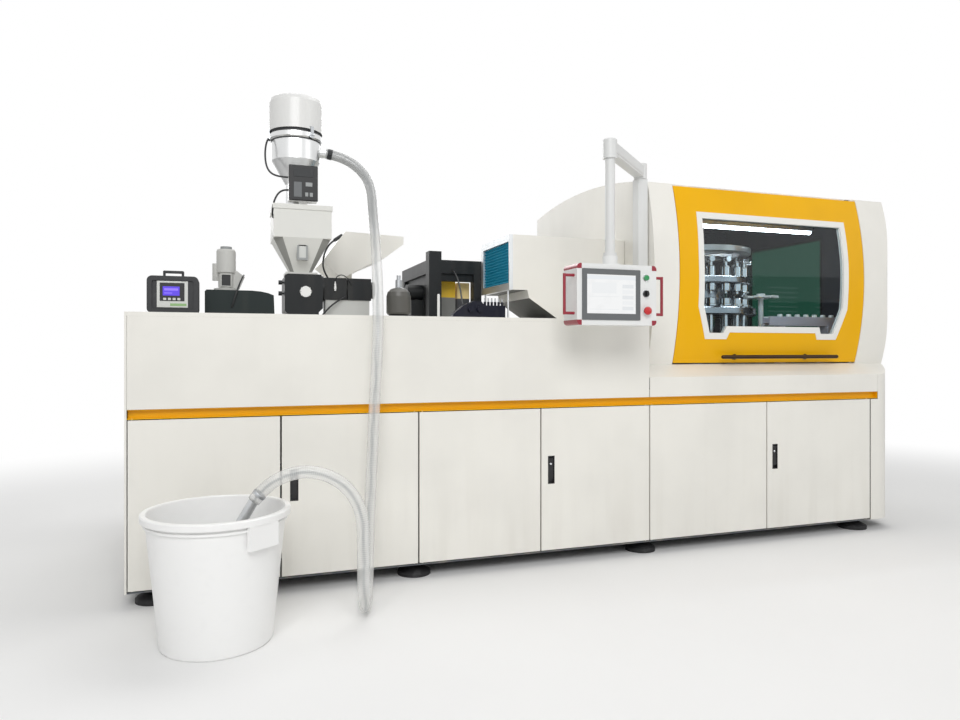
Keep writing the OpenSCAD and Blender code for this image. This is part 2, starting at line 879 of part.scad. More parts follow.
module upper_punches() {
    head = upper_plate - 66;
    top = ledge_height + 660;
    profile = [[0, head], [14, head], [14, head + 12], [mould_radius - 6, head + 16], [mould_radius - 2, head + 20],
        [mould_radius - 2, head + 60], [mould_radius - 8, upper_plate], [16, upper_plate], [16, upper_plate + 40],
        [30, upper_plate + 40], [30, upper_plate + 100], [24, upper_plate + 106], [14, upper_plate + 106],
        [14, top - 30], [18, top - 28], [18, top], [0, top]];
    color([0.83, 0.84, 0.86])
    translate([axis_x, axis_y, 0])
    for (i = [0 : stations - 1])
        rotate([0, 0, i * 360 / stations]) translate([pitch_radius, 0, 0]) {
            rotate_extrude() polygon(profile);
            rod_x([10, 0, top - 14], 17, 26);
        }
}

module takeoff_star() {
    thick = 12;
    reach = star_radius + 12;
    pocket = 24;
    color([0.85, 0.85, 0.83])
    translate([star_x, star_y, 0])
    union() {
        difference() {
            rod_z([0, 0, star_z], reach, thick);
            for (i = [0 : star_pockets - 1])
                rotate([0, 0, star_angle + 180 + i * 360 / star_pockets])
                    rod_z([star_radius, 0, star_z - past], pocket, thick + 2 * past);
        }
        rod_z([0, 0, table_top + 30], 16, star_z - table_top - 29);
        rod_z([0, 0, star_z + thick - past], 26, 16);
    }
}

module outfeed_rail() {
    y0 = 300;
    y1 = 362;
    left = axis_x + 220;
    right = machine_length - 100;
    near = left + 80;
    far = right - 150;
    pitch = (right - left - 182) / 6;
    top = ledge_height + 288;
    color([0.8, 0.78, 0.85])
    union() {
        difference() {
            block([left, y0, top - 56], [right, y1, top]);
            block([left - past, y0 + 12, top - 10], [right + past, y1 - 12, top + past]);
            block([left - past, y0 + 8, top - 57], [right + past, y1 - 8, top - 40]);
        }
        block([near, y0 + 10, table_top], [near + 50, y1 - 10, top - 39]);
        block([far, y0 - 20, table_top], [far + 88, y1 + 6, top - 55]);
        for (i = [0 : 6])
            translate([left + 105 + i * pitch, (y0 + y1) / 2, top - 10]) cylinder(r1 = 18, r2 = 14, h = 26);
        difference() {
            rod_z([star_x, star_y, table_top], 30, 60);
            rod_z([star_x, star_y, table_top + 20], 16.1, 60);
        }
    }
}

module pendant_column() {
    low = deck_height;
    s = column_side / 2;
    color([0.86, 0.86, 0.85])
    union() {
        block([swivel_x - s - 20, swivel_y - s - 20, low], [swivel_x + s, swivel_y + s + 20, low + 10]);
        block([swivel_x - s, swivel_y - s, low + 9], [swivel_x + s, swivel_y + s, column_top]);
        rod_z([swivel_x, swivel_y, column_top - past], 20, 51);
    }
}

module pendant_arm() {
    hub = 36;
    turn = 34;
    color([0.88, 0.88, 0.87])
    translate([swivel_x, swivel_y, 0]) rotate([0, 0, arm_angle])
    difference() {
        union() {
            rod_z([0, 0, column_top + clearance], hub, 84);
            block([0, -26, arm_z - 30], [arm_length, 26, arm_z + 30]);
            for (side = [-1, 1])
                block([hub, side * 24 - 4, arm_z - 18], [arm_length - turn, side * 24 + 4, arm_z - 8]);
            rod_z([arm_length, 0, arm_z - 50], turn, 88);
            translate([arm_length, 0, arm_z + 38]) scale([1, 1, 0.35]) sphere(r = turn);
            rod_z([arm_length, 0, panel_top_z + 4], drop_radius, arm_z - panel_top_z - 4);
            rod_z([arm_length, 0, panel_top_z + socket_height + clearance], drop_radius + 8, 16);
        }
        rod_z([0, 0, column_top - past], 20 + clearance, 52);
    }
}

module operator_panel() {
    corner = 18;
    x1 = panel_left + panel_width;
    color([0.9, 0.9, 0.89])
    difference() {
        union() {
            rounded_block([panel_left, panel_front, panel_bottom_z], [x1, panel_front + panel_depth, panel_top_z], corner);
            rod_z([panel_x, panel_y, panel_top_z - past], drop_radius + 12, socket_height + past);
            rod_z([panel_x, panel_y, panel_top_z - past], drop_radius + 26, 9);
        }
        for (x = [panel_left, x1 - notch], z = [panel_bottom_z, panel_top_z - notch])
            block([x - past, panel_front - past, z - past],
                [x + notch + past, panel_front + panel_depth + past, z + notch + past]);
        block([panel_left + 26, panel_front - past, panel_bottom_z + 24],
            [panel_left + 334, panel_front + 14, panel_top_z - 24]);
        rod_z([panel_x, panel_y, panel_top_z + 3], drop_radius + clearance, socket_height);
        rod_y([control_x, panel_front - past, start_z], 8.4, 30);
        rod_y([control_x, panel_front - past, select_z], 8.4, 30);
        rod_y([control_x, panel_front - past, stop_z], 8.4, 34);
    }
}

module panel_guards() {
    x1 = panel_left + panel_width;
    back = panel_front + panel_depth;
    grip = 7;
    reach = 50;
    y = panel_front + 30;
    color([0.62, 0.09, 0.19])
    union() {
        intersection() {
            rounded_block([panel_left, panel_front - 2, panel_bottom_z], [x1, back, panel_top_z], 18);
            for (x = [panel_left, x1 - notch], z = [panel_bottom_z, panel_top_z - notch])
                block([x - past, panel_front - 5, z - past], [x + notch + 0.8, back + past, z + notch + 0.8]);
        }
        for (side = [0, 1]) {
            x = side == 0 ? panel_left - reach : x1 + reach;
            inner = side == 0 ? panel_left : x1;
            rod_z([x, y, panel_bottom_z + 48], grip, panel_height - 96);
            for (z = [panel_bottom_z + 55, panel_top_z - 55])
                rod_x([min(x, inner), y, z], grip, reach);
        }
    }
}

module touch_screen() {
    x0 = panel_left + 26.2;
    x1 = panel_left + 333.8;
    z0 = panel_bottom_z + 24.2;
    z1 = panel_top_z - 24.2;
    color([0.3, 0.31, 0.33])
    difference() {
        rounded_block([x0, panel_front - 5, z0], [x1, panel_front + 14, z1], 5);
        block([x0 + 24, panel_front - 6, z0 + 30], [x1 - 24, panel_front - 2, z1 - 26]);
    }
}

// Push button turned about Y, its stem running in the panel
module control_shape(z, profile) {
    translate([control_x, panel_front, z]) rotate([90, 0, 0]) rotate_extrude() polygon(profile);
}

module start_button() {
    color([0.1, 0.55, 0.25])
    control_shape(start_z, [[0, -22], [8, -22], [8, 5], [13, 5], [13, 12], [11, 14], [0, 14]]);
}

module selector_switch() {
    color([0.08, 0.08, 0.09])
    union() {
        control_shape(select_z, [[0, -22], [8, -22], [8, 0.4], [15, 0.4], [15, 10], [0, 10]]);
        block([control_x - 4, panel_front - 20, select_z - 14], [control_x + 4, panel_front - 9, select_z + 14]);
    }
}

module stop_button() {
    color([0.75, 0.05, 0.07])
    control_shape(stop_z, [[0, -26], [8, -26], [8, 9], [13, 10], [19, 14], [20, 18], [19, 24], [14, 29], [0, 31]]);
}

module feed_block() {
    y0 = 382;
    y1 = 602;
    x0 = feed_left;
    x1 = feed_left + feed_width;
    disc = 27;
    middle = [(x0 + x1) / 2 + 8, y0, deck_height + 132];
    profile = [[x0, deck_height + 34], [x0, feed_top - 14], [x0 + 14, feed_top], [x1 - 8, feed_top],
        [x1, feed_top - 30], [x1, deck_height + 50], [x1 - 20, deck_height + 30], [x1 - 20, deck_height],
        [x0 + 12, deck_height], [x0 + 12, deck_height + 22]];
    color([0.14, 0.16, 0.16])
    difference() {
        union() {
            prism_y(profile, y0, y1);
            rod_y(middle + [0, -6, 0], disc, 7);
            for (a = [0 : 45 : 315])
                rod_y(middle + [26 * cos(a), -9, 26 * sin(a)], 5, 10);
            for (z = [deck_height + 125, deck_height + 180]) {
                rod_x([x0 - 10, 450, z], 5, 11);
                rod_x([x0 - 26, 450, z], 11, 17);
            }
        }
        rod_z([hopper_x, barrel_y, barrel_z], 38, 120);
        rod_x([x0 + 40, barrel_y, barrel_z], 36, feed_width);
    }
}

module extruder_barrel() {
    x0 = feed_left + feed_width;
    x1 = x0 + 255;
    seam = x0 + 130;
    base = deck_height + 98;
    half_width = 52;
    color([0.16, 0.17, 0.18])
    difference() {
        union() {
            rod_x([x0, barrel_y, barrel_z], barrel_radius + 12, 13);
            rod_x([x0, barrel_y, barrel_z], 44, x1 - x0 + 24);
            for (span = [[x0 + 13, seam - 3], [seam + 3, x1]])
                block([span[0], barrel_y - half_width, base], [span[1], barrel_y + half_width, barrel_z + barrel_radius]);
            block([x0 + 20, barrel_y - half_width + 6, deck_height], [x1 - 8, barrel_y + half_width - 6, base + past]);
        }
        rod_x([x0 - past, barrel_y, barrel_z], 26, x1 - x0);
    }
}

// Square frustum with chamfered corners, from two pairs of crossed wedges
module frustum(width0, width1, z0, z1) {
    a = width0 / 2;
    b = width1 / 2;
    wedge = [[-a, z0], [-b, z1], [b, z1], [a, z0]];
    slant = [[-a * 1.2, z0], [-b * 1.2, z1], [b * 1.2, z1], [a * 1.2, z0]];
    intersection() {
        prism_y(wedge, -b, b);
        rotate([0, 0, 90]) prism_y(wedge, -b, b);
        rotate([0, 0, 45]) prism_y(slant, -b * 1.5, b * 1.5);
        rotate([0, 0, 135]) prism_y(slant, -b * 1.5, b * 1.5);
    }
}

module hopper() {
    neck = 104;
    skin = 3;
    w = hopper_width / 2;
    color([0.86, 0.86, 0.85])
    translate([hopper_x, barrel_y, 0])
    difference() {
        union() {
            block([-78, -78, feed_top], [78, 78, funnel_bottom]);
            frustum(neck, hopper_width, funnel_bottom - 0.5, funnel_top);
            block([-w, -w, funnel_top - 0.5], [w, w, box_top]);
            block([-w - 5, -w - 5, box_top], [w + 5, w + 5, lid_top]);
            block([-26, -w * 0.86, funnel_top - 108], [26, 0, funnel_top - 24]);
        }
        frustum(neck - 2 * skin, hopper_width - 2 * skin, funnel_bottom - 1, funnel_top + 0.5);
        block([skin - w, skin - w, funnel_top], [w - skin, w - skin, box_top]);
        rod_z([0, 0, feed_top - past], 38, 30);
        rod_z([loader_x - hopper_x, 0, box_top - past], 45, 40);
        block([-17, -w, funnel_top - 98], [17, -w * 0.86 + 4, funnel_top - 34]);
    }
}

module loader_receiver() {
    r = receiver_radius;
    low = lid_top;
    shell = [[46, low], [70, low], [70, low + 10], [52, low + 14], [52, low + 120], [r, low + 238],
        [r, low + receiver_height], [r - 2, low + receiver_height], [r - 2, low + 239], [46, low + 121]];
    color([0.75, 0.76, 0.77])
    translate([loader_x, barrel_y, 0])
    difference() {
        union() {
            rotate_extrude($fn = 72) polygon(shell);
            rod_x([r - 6, 0, spigot_z], 25, 35);
        }
        rod_x([r - 20, 0, spigot_z], 21, 60);
    }
}

module loader_head() {
    r = head_radius;
    low = lid_top + receiver_height;
    body = [[0, low], [r - 8, low], [r - 8, low + 6], [r - 2, low + 12], [r - 2, low + 34], [r - 8, low + 40],
        [r - 8, low + 46], [r, low + 50], [r, low + 196], [r - 6, low + 214], [r - 24, low + 225], [0, low + 225]];
    color([0.93, 0.93, 0.92])
    translate([loader_x, barrel_y, 0])
    union() {
        rotate_extrude($fn = 72) polygon(body);
        for (a = [-60, 60, 180])
            rotate([0, 0, a]) {
                block([r - 6, -9, low + 4], [r + 8, 9, low + 62]);
                rod_y([r + 4, -12, low + 20], 6, 24);
            }
    }
}

module loader_control() {
    x0 = hopper_x - 70;
    y0 = 330;
    depth = 58;
    low = lid_top + 14;
    color([0.85, 0.85, 0.84])
    union() {
        rounded_block([x0, y0, low], [x0 + 140, y0 + depth, low + 176], 6);
        rounded_block([x0 + 4, y0 - 4, low + 5], [x0 + 136, y0 + 1, low + 171], 5);
        block([loader_x - 20, y0 + depth - past, low + 20], [loader_x + 20, barrel_y - 52 - weld_gap, low + 70]);
        block([x0 + 50, y0 + 24, lid_top], [x0 + 90, y0 + 44, low + past]);
    }
}

module drive_cover() {
    x0 = 305;
    x1 = 612;
    y0 = 250;
    y1 = 450;
    top = deck_height + 120;
    profile = [[x0, deck_height], [x0, top - 8], [x0 + 8, top], [x1 - 100, top], [x1 - 60, top - 3],
        [x1 - 25, top - 10], [x1, top - 20], [x1 + 4, deck_height]];
    color([0.15, 0.19, 0.19])
    difference() {
        prism_y(profile, y0, y1);
        block([x0 + 4, y0 + 4, deck_height - past], [x1 - 4, y1 - 4, top - 24]);
    }
}

module lubricator() {
    low = deck_height + 120;
    x = 398;
    y = 340;
    body = [[0, low], [56, low], [56, low + 12], [36, low + 16], [36, low + 84], [44, low + 88], [44, low + 190],
        [40, low + 198], [26, low + 200], [26, low + 212], [0, low + 212]];
    color([0.8, 0.8, 0.79])
    difference() {
        union() {
            translate([x, y, 0]) rotate_extrude() polygon(body);
            rod_z([x - 46, y, low + 50], 16, 80);
            prism_y([[x + 20, low + 11], [x + 20, low + 100], [x + 46, low + 100], [x + 84, low + 70], [x + 60, low + 11]],
                y - 14, y + 14);
            block([x - 24, y - 40, low + 20], [x + 24, y, low + 80]);
        }
        block([x - 20, y - 41, low + 24], [x + 20, y - 36, low + 76]);
    }
}

module instrument_case() {
    x0 = 74;
    x1 = 284;
    y0 = 110;
    y1 = 215;
    top = deck_height + 164;
    color([0.12, 0.13, 0.14])
    difference() {
        union() {
            rounded_block([x0, y0, deck_height], [x1, y0 + 18, top], 22);
            rounded_block([x0, y1 - 18, deck_height], [x1, y1, top], 22);
            rounded_block([x0 + 6, y0 + 17, deck_height + 4], [x1 - 6, y1 - 17, top - 6], 20);
            for (x = [x0 + 62, x1 - 72])
                block([x, 155, top - 12], [x + 10, 170, top + 24]);
            rounded_block([x0 + 62, 153, top + 16], [x1 - 62, 172, top + 27], 5);
        }
        rounded_block([x0 + 20, y0 - past, deck_height + 20], [x1 - 20, y0 + 6, top - 20], 8);
    }
}

module side_hopper() {
    x0 = 898;
    y0 = 740;
    y1 = 1120;
    skin = 3;
    leg = 60;
    outline = [[0, 328], [60, 414], [127, 502], [458, 490], [458, 446], [353, 366], [256, 322], [110, 238]];
    shape = [for (p = outline) [p[0] + x0, p[1] + deck_height]];
    color([0.92, 0.92, 0.9])
    difference() {
        union() {
            prism_y(shape, y0, y1);
            for (y = [y0 + leg, y1 - 2 * leg])
                block([x0 + 112, y, deck_height], [x0 + 112 + leg, y + leg, deck_height + 280]);
        }
        prism_y(inset(shape, skin), y0 + skin, y1 - skin);
    }
}

module accumulator() {
    r = bottle_radius;
    low = deck_height;
    body = [[0, low], [r - 12, low], [r - 12, low + 18], [r - 4, low + 22], [r, low + 30], [r, low + 112],
        [r - 6, low + 134], [r - 22, low + 150], [20, low + 157], [16, low + 160], [16, low + 196], [10, low + 200],
        [10, low + 220], [0, low + 220]];
    color([0.42, 0.42, 0.41])
    translate([1228, 300, 0]) rotate_extrude() polygon(body);
}

module gantry() {
    x0 = 1535;
    x1 = 1612;
    x2 = 1868;
    y0 = 840;
    y1 = 917;
    y2 = 1550;
    low = deck_height;
    top = low + 431;
    beam = low + 381;
    under = beam - 80;
    color([0.12, 0.13, 0.14])
    union() {
        block([x0, y0, low], [x1, y1, top]);
        block([x0, y2 - 70, low], [x1, y2, beam]);
        block([x0, y1 - past, under], [x1, y2 - 69, beam]);
        block([x1 - past, y0 + 8, under], [x2, y1 - 5, beam]);
        block([x1 - past, y0 + 30, under - 44], [x2, y1 - 5, under + past]);
        block([x2 - 50, y0 + 8, low], [x2, y1 - 5, under + past]);
        block([x0 + 20, y1 - past, low + 30], [x0 + 26, y2 - 69, under + past]);
        block([x0 - 60, y0 + 200, low], [x0 + 21, y0 + 300, low + 150]);
        rod_x([x0 - 80, y0 + 250, low + 200], 48, 101);
        block([x0 - 30, y0 + 230, low + 149], [x0 - 10, y0 + 270, low + 175]);
        block([1640, 970, low], [1738, 1090, low + 265]);
        block([1752, 970, low], [1830, 1060, low + 258]);
        block([1737, 1000, low], [1753, 1050, low + 60]);
    }
}

module valve_block() {
    x0 = 1530;
    x1 = 1840;
    y0 = 372;
    y1 = 425;
    low = deck_height;
    profile = [[x0, low], [x0 + 14, low + 34], [x0 + 80, low + 86], [x0 + 130, low + 104], [x0 + 170, low + 104],
        [x0 + 190, low + 82], [x1, low + 82], [x1, low]];
    color([0.12, 0.15, 0.24])
    union() {
        prism_y(profile, y0, y1);
        for (i = [0 : 5]) {
            rod_z([x0 + 200 + i * 20, y0 + 26, low + 81], 7, 22);
            rod_z([x0 + 200 + i * 20, y0 + 26, low + 102], 4, 22);
        }
        rod_y([x0 + 110, y0 - 14, low + 60], 16, 15);
        rod_y([x0 + 160, y0 - 14, low + 60], 16, 15);
    }
}

module filter_hood() {
    skin = 3;
    shape = [[hood_left, hood_bottom], [hood_left, hood_top], [hood_right, hood_top], [hood_right, deck_height],
        [2165, deck_height], [1972, deck_height + 126], [1962, hood_bottom]];
    color([0.94, 0.93, 0.9])
    difference() {
        prism_y(shape, hood_front, hood_back);
        prism_y(inset(shape, skin), hood_front + skin, hood_back - skin);
        block([hood_left - past, hood_front + 25, hood_bottom + 25], [hood_left + 5, hood_back - 25, hood_top - 25]);
    }
}

module air_filter() {
    x0 = hood_left - 22;
    edge = 38;
    near = 10;
    leg = 5;
    y0 = hood_front + near;
    y1 = hood_back - edge;
    z0 = hood_bottom + edge;
    z1 = hood_top - edge;
    pitch = (z1 - z0) / 14;
    color([0.1, 0.42, 0.48])
    union() {
        difference() {
            block([x0, hood_front, hood_bottom], [hood_left, hood_back, hood_top]);
            block([x0 - past, y0, z0], [hood_left + past, y1, z1]);
        }
        block([hood_left - 6, y0 - 0.5, z0 - 0.5], [hood_left - 2, y1 + 0.5, z1 + 0.5]);
        for (i = [0 : 13])
            prism_y([[hood_left - 5, z0 + i * pitch + 1], [hood_left - 16, z0 + (i + 0.5) * pitch],
                [hood_left - 5, z0 + (i + 1) * pitch - 1]], y0 - 0.5, y1 + 0.5);
        for (y = [hood_front + 45, hood_back - 45])
            rod_z([hood_left - 11, y, deck_height], leg, hood_bottom - deck_height + 1);
    }
}

module tub() {
    skin = 4;
    floor_top = 6;
    a = tub_base_radius;
    b = tub_rim_radius - 20;
    h = tub_height;
    shell = [[0, 0], [a - 6, 0], [a, 6], [b, h - 46], [b + 8, h - 44], [b + 8, h - 36], [b + 2, h - 34],
        [b + 4, h - 24], [tub_rim_radius, h - 24], [tub_rim_radius, h - 4], [tub_rim_radius - 4, h], [b, h],
        [b - 2, h - 4], [b - skin - 4, h - 50], [a - skin, floor_top + 4], [a - skin - 4, floor_top], [0, floor_top]];
    color([0.92, 0.93, 0.93])
    translate([tub_x, tub_y, 0])
    union() {
        rotate_extrude($fn = 72) polygon(shell);
        for (a = [-52, 128])
            rotate([0, 0, a]) difference() {
                block([b - 2, -62, h - 110], [b + 16, 62, h - 24]);
                block([b + 4, -50, h - 112], [b + 12, 50, h - 40]);
                rod_z([0, 0, h - 120], b - 1, 100);
            }
    }
}

// Even curve drawn by the hand-set points, meeting the first and the last
function curve(p, i, t) =
    let (last = len(p) - 1, b = p[i], c = p[i + 1],
        a = i == 0 ? 2 * b - c : p[i - 1], d = i + 1 == last ? 2 * c - b : p[i + 2])
    (pow(1 - t, 3) * a + (3 * t * t * t - 6 * t * t + 4) * b
        + (1 + 3 * t + 3 * t * t - 3 * t * t * t) * c + t * t * t * d) / 6;
function route(p, steps) = [for (i = [0 : len(p) - 2], s = [0 : steps - 1]) curve(p, i, s / steps),
    p[len(p) - 1]];
function along(p, i) = unit(p[min(i + 1, len(p) - 1)] - p[max(i - 1, 0)]);
function across(v, t) = unit(v - t * (v * t));
function normals(p) = [for (i = 0, v = across([0, 1, 0], along(p, 0)); i < len(p);
    i = i + 1, v = across(v, along(p, min(i, len(p) - 1)))) v];
function ring(p, i, v, radius, sides) =
    let (w = cross(along(p, i), v))
    [for (k = [0 : sides - 1]) p[i] + radius * (cos(k * 360 / sides) * v + sin(k * 360 / sides) * w)];

module swept_tube(p, radius, sides) {
    frames = normals(p);
    count = len(p);
    points = [for (i = [0 : count - 1]) each ring(p, i, frames[i], radius, sides)];
    walls = [for (i = [0 : count - 2], k = [0 : sides - 1])
        [i * sides + k, (i + 1) * sides + k, (i + 1) * sides + (k + 1) % sides, i * sides + (k + 1) % sides]];
    start = [for (k = [0 : sides - 1]) k];
    end = [for (k = [sides - 1 : -1 : 0]) (count - 1) * sides + k];
    polyhedron(points = points, faces = concat([start], walls, [end]));
}

module suction_hose() {
    color([0.75, 0.78, 0.76, 0.6])
    swept_tube(route(hose_points, hose_steps), hose_diameter / 2, hose_sides);
}

module suction_lance() {
    top = hose_points[len(hose_points) - 1];
    reach = lance_end - top;
    length = norm(reach);
    tilt = acos(reach[2] / length);
    turn = atan2(reach[1], reach[0]);
    color([0.72, 0.73, 0.74])
    translate(top) rotate([0, 0, turn]) rotate([0, tilt, 0])
    difference() {
        cylinder(r = 19, h = length);
        translate([0, 0, -past]) cylinder(r = 17, h = length + 2 * past);
    }
}

at_corner() base_frame();
at_corner() levelling_feet();
at_corner() deck_plate();
at_corner() front_fascias();
at_corner() trim_channel();
at_corner() fixed_covers();
at_corner() right_end_cover();
at_corner() drive_motors();
at_corner() control_plate();
at_corner() cabinet_door(0);  // cabinet_door_1
at_corner() cabinet_door(1);  // cabinet_door_2
at_corner() cabinet_door(2);  // cabinet_door_3
at_corner() cabinet_door(3);  // cabinet_door_4
at_corner() cabinet_door(4);  // cabinet_door_5
at_corner() cabinet_door(5);  // cabinet_door_6
at_corner() lock_lever(1);  // lock_lever_2
at_corner() lock_lever(3);  // lock_lever_4
at_corner() lock_lever(5);  // lock_lever_6
at_corner() housing_side();
at_corner() housing_end();
at_corner() end_window();
at_corner() housing_roof();
at_corner() safety_door();
at_corner() window_seal();
at_corner() window_pane();
at_corner() bar_handle();
at_corner() hinge_pins();
at_corner() work_light();
at_corner() turret_column();
at_corner() carousel();
at_corner() lower_moulds();
at_corner() upper_punches();
at_corner() takeoff_star();
at_corner() outfeed_rail();
at_corner() pendant_column();
at_corner() pendant_arm();
at_corner() operator_panel();
at_corner() panel_guards();
at_corner() touch_screen();
at_corner() start_button();
at_corner() selector_switch();
at_corner() stop_button();
at_corner() feed_block();
at_corner() extruder_barrel();
at_corner() hopper();
at_corner() loader_receiver();
at_corner() loader_head();
at_corner() loader_control();
at_corner() drive_cover();
at_corner() lubricator();
at_corner() instrument_case();
at_corner() side_hopper();
at_corner() accumulator();
at_corner() gantry();
at_corner() valve_block();
at_corner() filter_hood();
at_corner() air_filter();
at_corner() tub();
at_corner() suction_hose();
at_corner() suction_lance();
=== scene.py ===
"""Looks of a cap compression moulding machine: finishes, fittings, suction hose, studio and camera."""

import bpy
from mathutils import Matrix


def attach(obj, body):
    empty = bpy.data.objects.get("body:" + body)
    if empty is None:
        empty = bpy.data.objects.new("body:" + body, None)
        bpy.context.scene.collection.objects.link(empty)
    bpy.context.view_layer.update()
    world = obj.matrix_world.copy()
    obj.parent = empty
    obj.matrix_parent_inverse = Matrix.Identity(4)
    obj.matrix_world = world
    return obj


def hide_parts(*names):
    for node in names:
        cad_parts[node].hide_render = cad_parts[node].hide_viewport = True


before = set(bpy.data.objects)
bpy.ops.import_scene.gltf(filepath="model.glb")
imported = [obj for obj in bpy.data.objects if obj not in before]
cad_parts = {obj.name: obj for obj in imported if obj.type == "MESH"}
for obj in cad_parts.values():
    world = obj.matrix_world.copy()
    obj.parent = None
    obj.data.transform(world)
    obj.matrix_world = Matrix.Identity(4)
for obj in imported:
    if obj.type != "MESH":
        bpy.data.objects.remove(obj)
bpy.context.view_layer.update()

import logging
import math
from abc import ABC, abstractmethod
from dataclasses import dataclass, field
from enum import Enum
from typing import Any, Callable, Optional, Sequence, Union

import bmesh
import bpy
from mathutils import Vector

LOG = logging.getLogger("moulding_machine")

Colour = tuple[float, float, float]
Point = tuple[float, float, float]
Pair = tuple[float, float]
Box = tuple[Point, Point]
Profile = Sequence[Pair]
Test = Callable[[Vector, Vector], bool]

MACHINE = "machine"
ORIGIN_MM = Vector((2125.0, 442.5, 0.0))
DECK = 1240.0
UP = Vector((0, 0, 1))
FRONT = Vector((0, -1, 0))


def srgb(red: int, green: int, blue: int) -> Colour:
    """Turn display values into linear ones.

    Args:
        red: the first channel, from 0 to 255.
        green: the second channel.
        blue: the third channel.

    Returns:
        The linear channels, from 0 to 1.
    """
    def linear(value: float) -> float:
        """Undo the display curve of one channel."""
        return value / 12.92 if value <= 0.04045 else ((value + 0.055) / 1.055) ** 2.4

    return (linear(red / 255), linear(green / 255), linear(blue / 255))


def place(x: float, y: float, z: float) -> Vector:
    """Turn millimetres from the machine's front left corner into the row frame in metres."""
    return (Vector((x, y, z)) - ORIGIN_MM) / 1000


def corner_mm(point: Vector) -> Vector:
    """Turn a row frame point in metres into millimetres from the front left corner."""
    return Vector(point) * 1000 + ORIGIN_MM


class Sock:
    """A shader socket that takes part in sums by adding Math nodes."""

    def __init__(self, shader: "Shader", socket: bpy.types.NodeSocket) -> None:
        """Keep the socket and the shader that it belongs to."""
        self.shader = shader
        self.socket = socket

    def _math(self, operation: str, left: "Value", right: "Value") -> "Sock":
        """Join two values with one Math node."""
        return self.shader.node("ShaderNodeMath", {"operation": operation}, {0: left, 1: right})

    def __add__(self, other: "Value") -> "Sock":
        """Add a value."""
        return self._math("ADD", self, other)

    __radd__ = __add__

    def __sub__(self, other: "Value") -> "Sock":
        """Take a value away."""
        return self._math("SUBTRACT", self, other)

    def __rsub__(self, other: "Value") -> "Sock":
        """Take this socket away from a value."""
        return self._math("SUBTRACT", other, self)

    def __mul__(self, other: "Value") -> "Sock":
        """Multiply by a value."""
        return self._math("MULTIPLY", self, other)

    __rmul__ = __mul__

    def __gt__(self, other: "Value") -> "Sock":
        """Give 1 where this socket is larger."""
        return self._math("GREATER_THAN", self, other)

    def __lt__(self, other: "Value") -> "Sock":
        """Give 1 where this socket is smaller."""
        return self._math("LESS_THAN", self, other)

    def spread(self, low: float, high: float) -> "Sock":
        """Map low to 0 and high to 1 on a smooth step."""
        settings = {"interpolation_type": "SMOOTHSTEP"}
        return self.shader.node("ShaderNodeMapRange", settings, {0: self, 1: low, 2: high, 3: 0.0, 4: 1.0})

    def wave(self) -> "Sock":
        """Take the sine."""
        return self.shader.node("ShaderNodeMath", {"operation": "SINE"}, {0: self})


Value = Union[float, int, Sock]


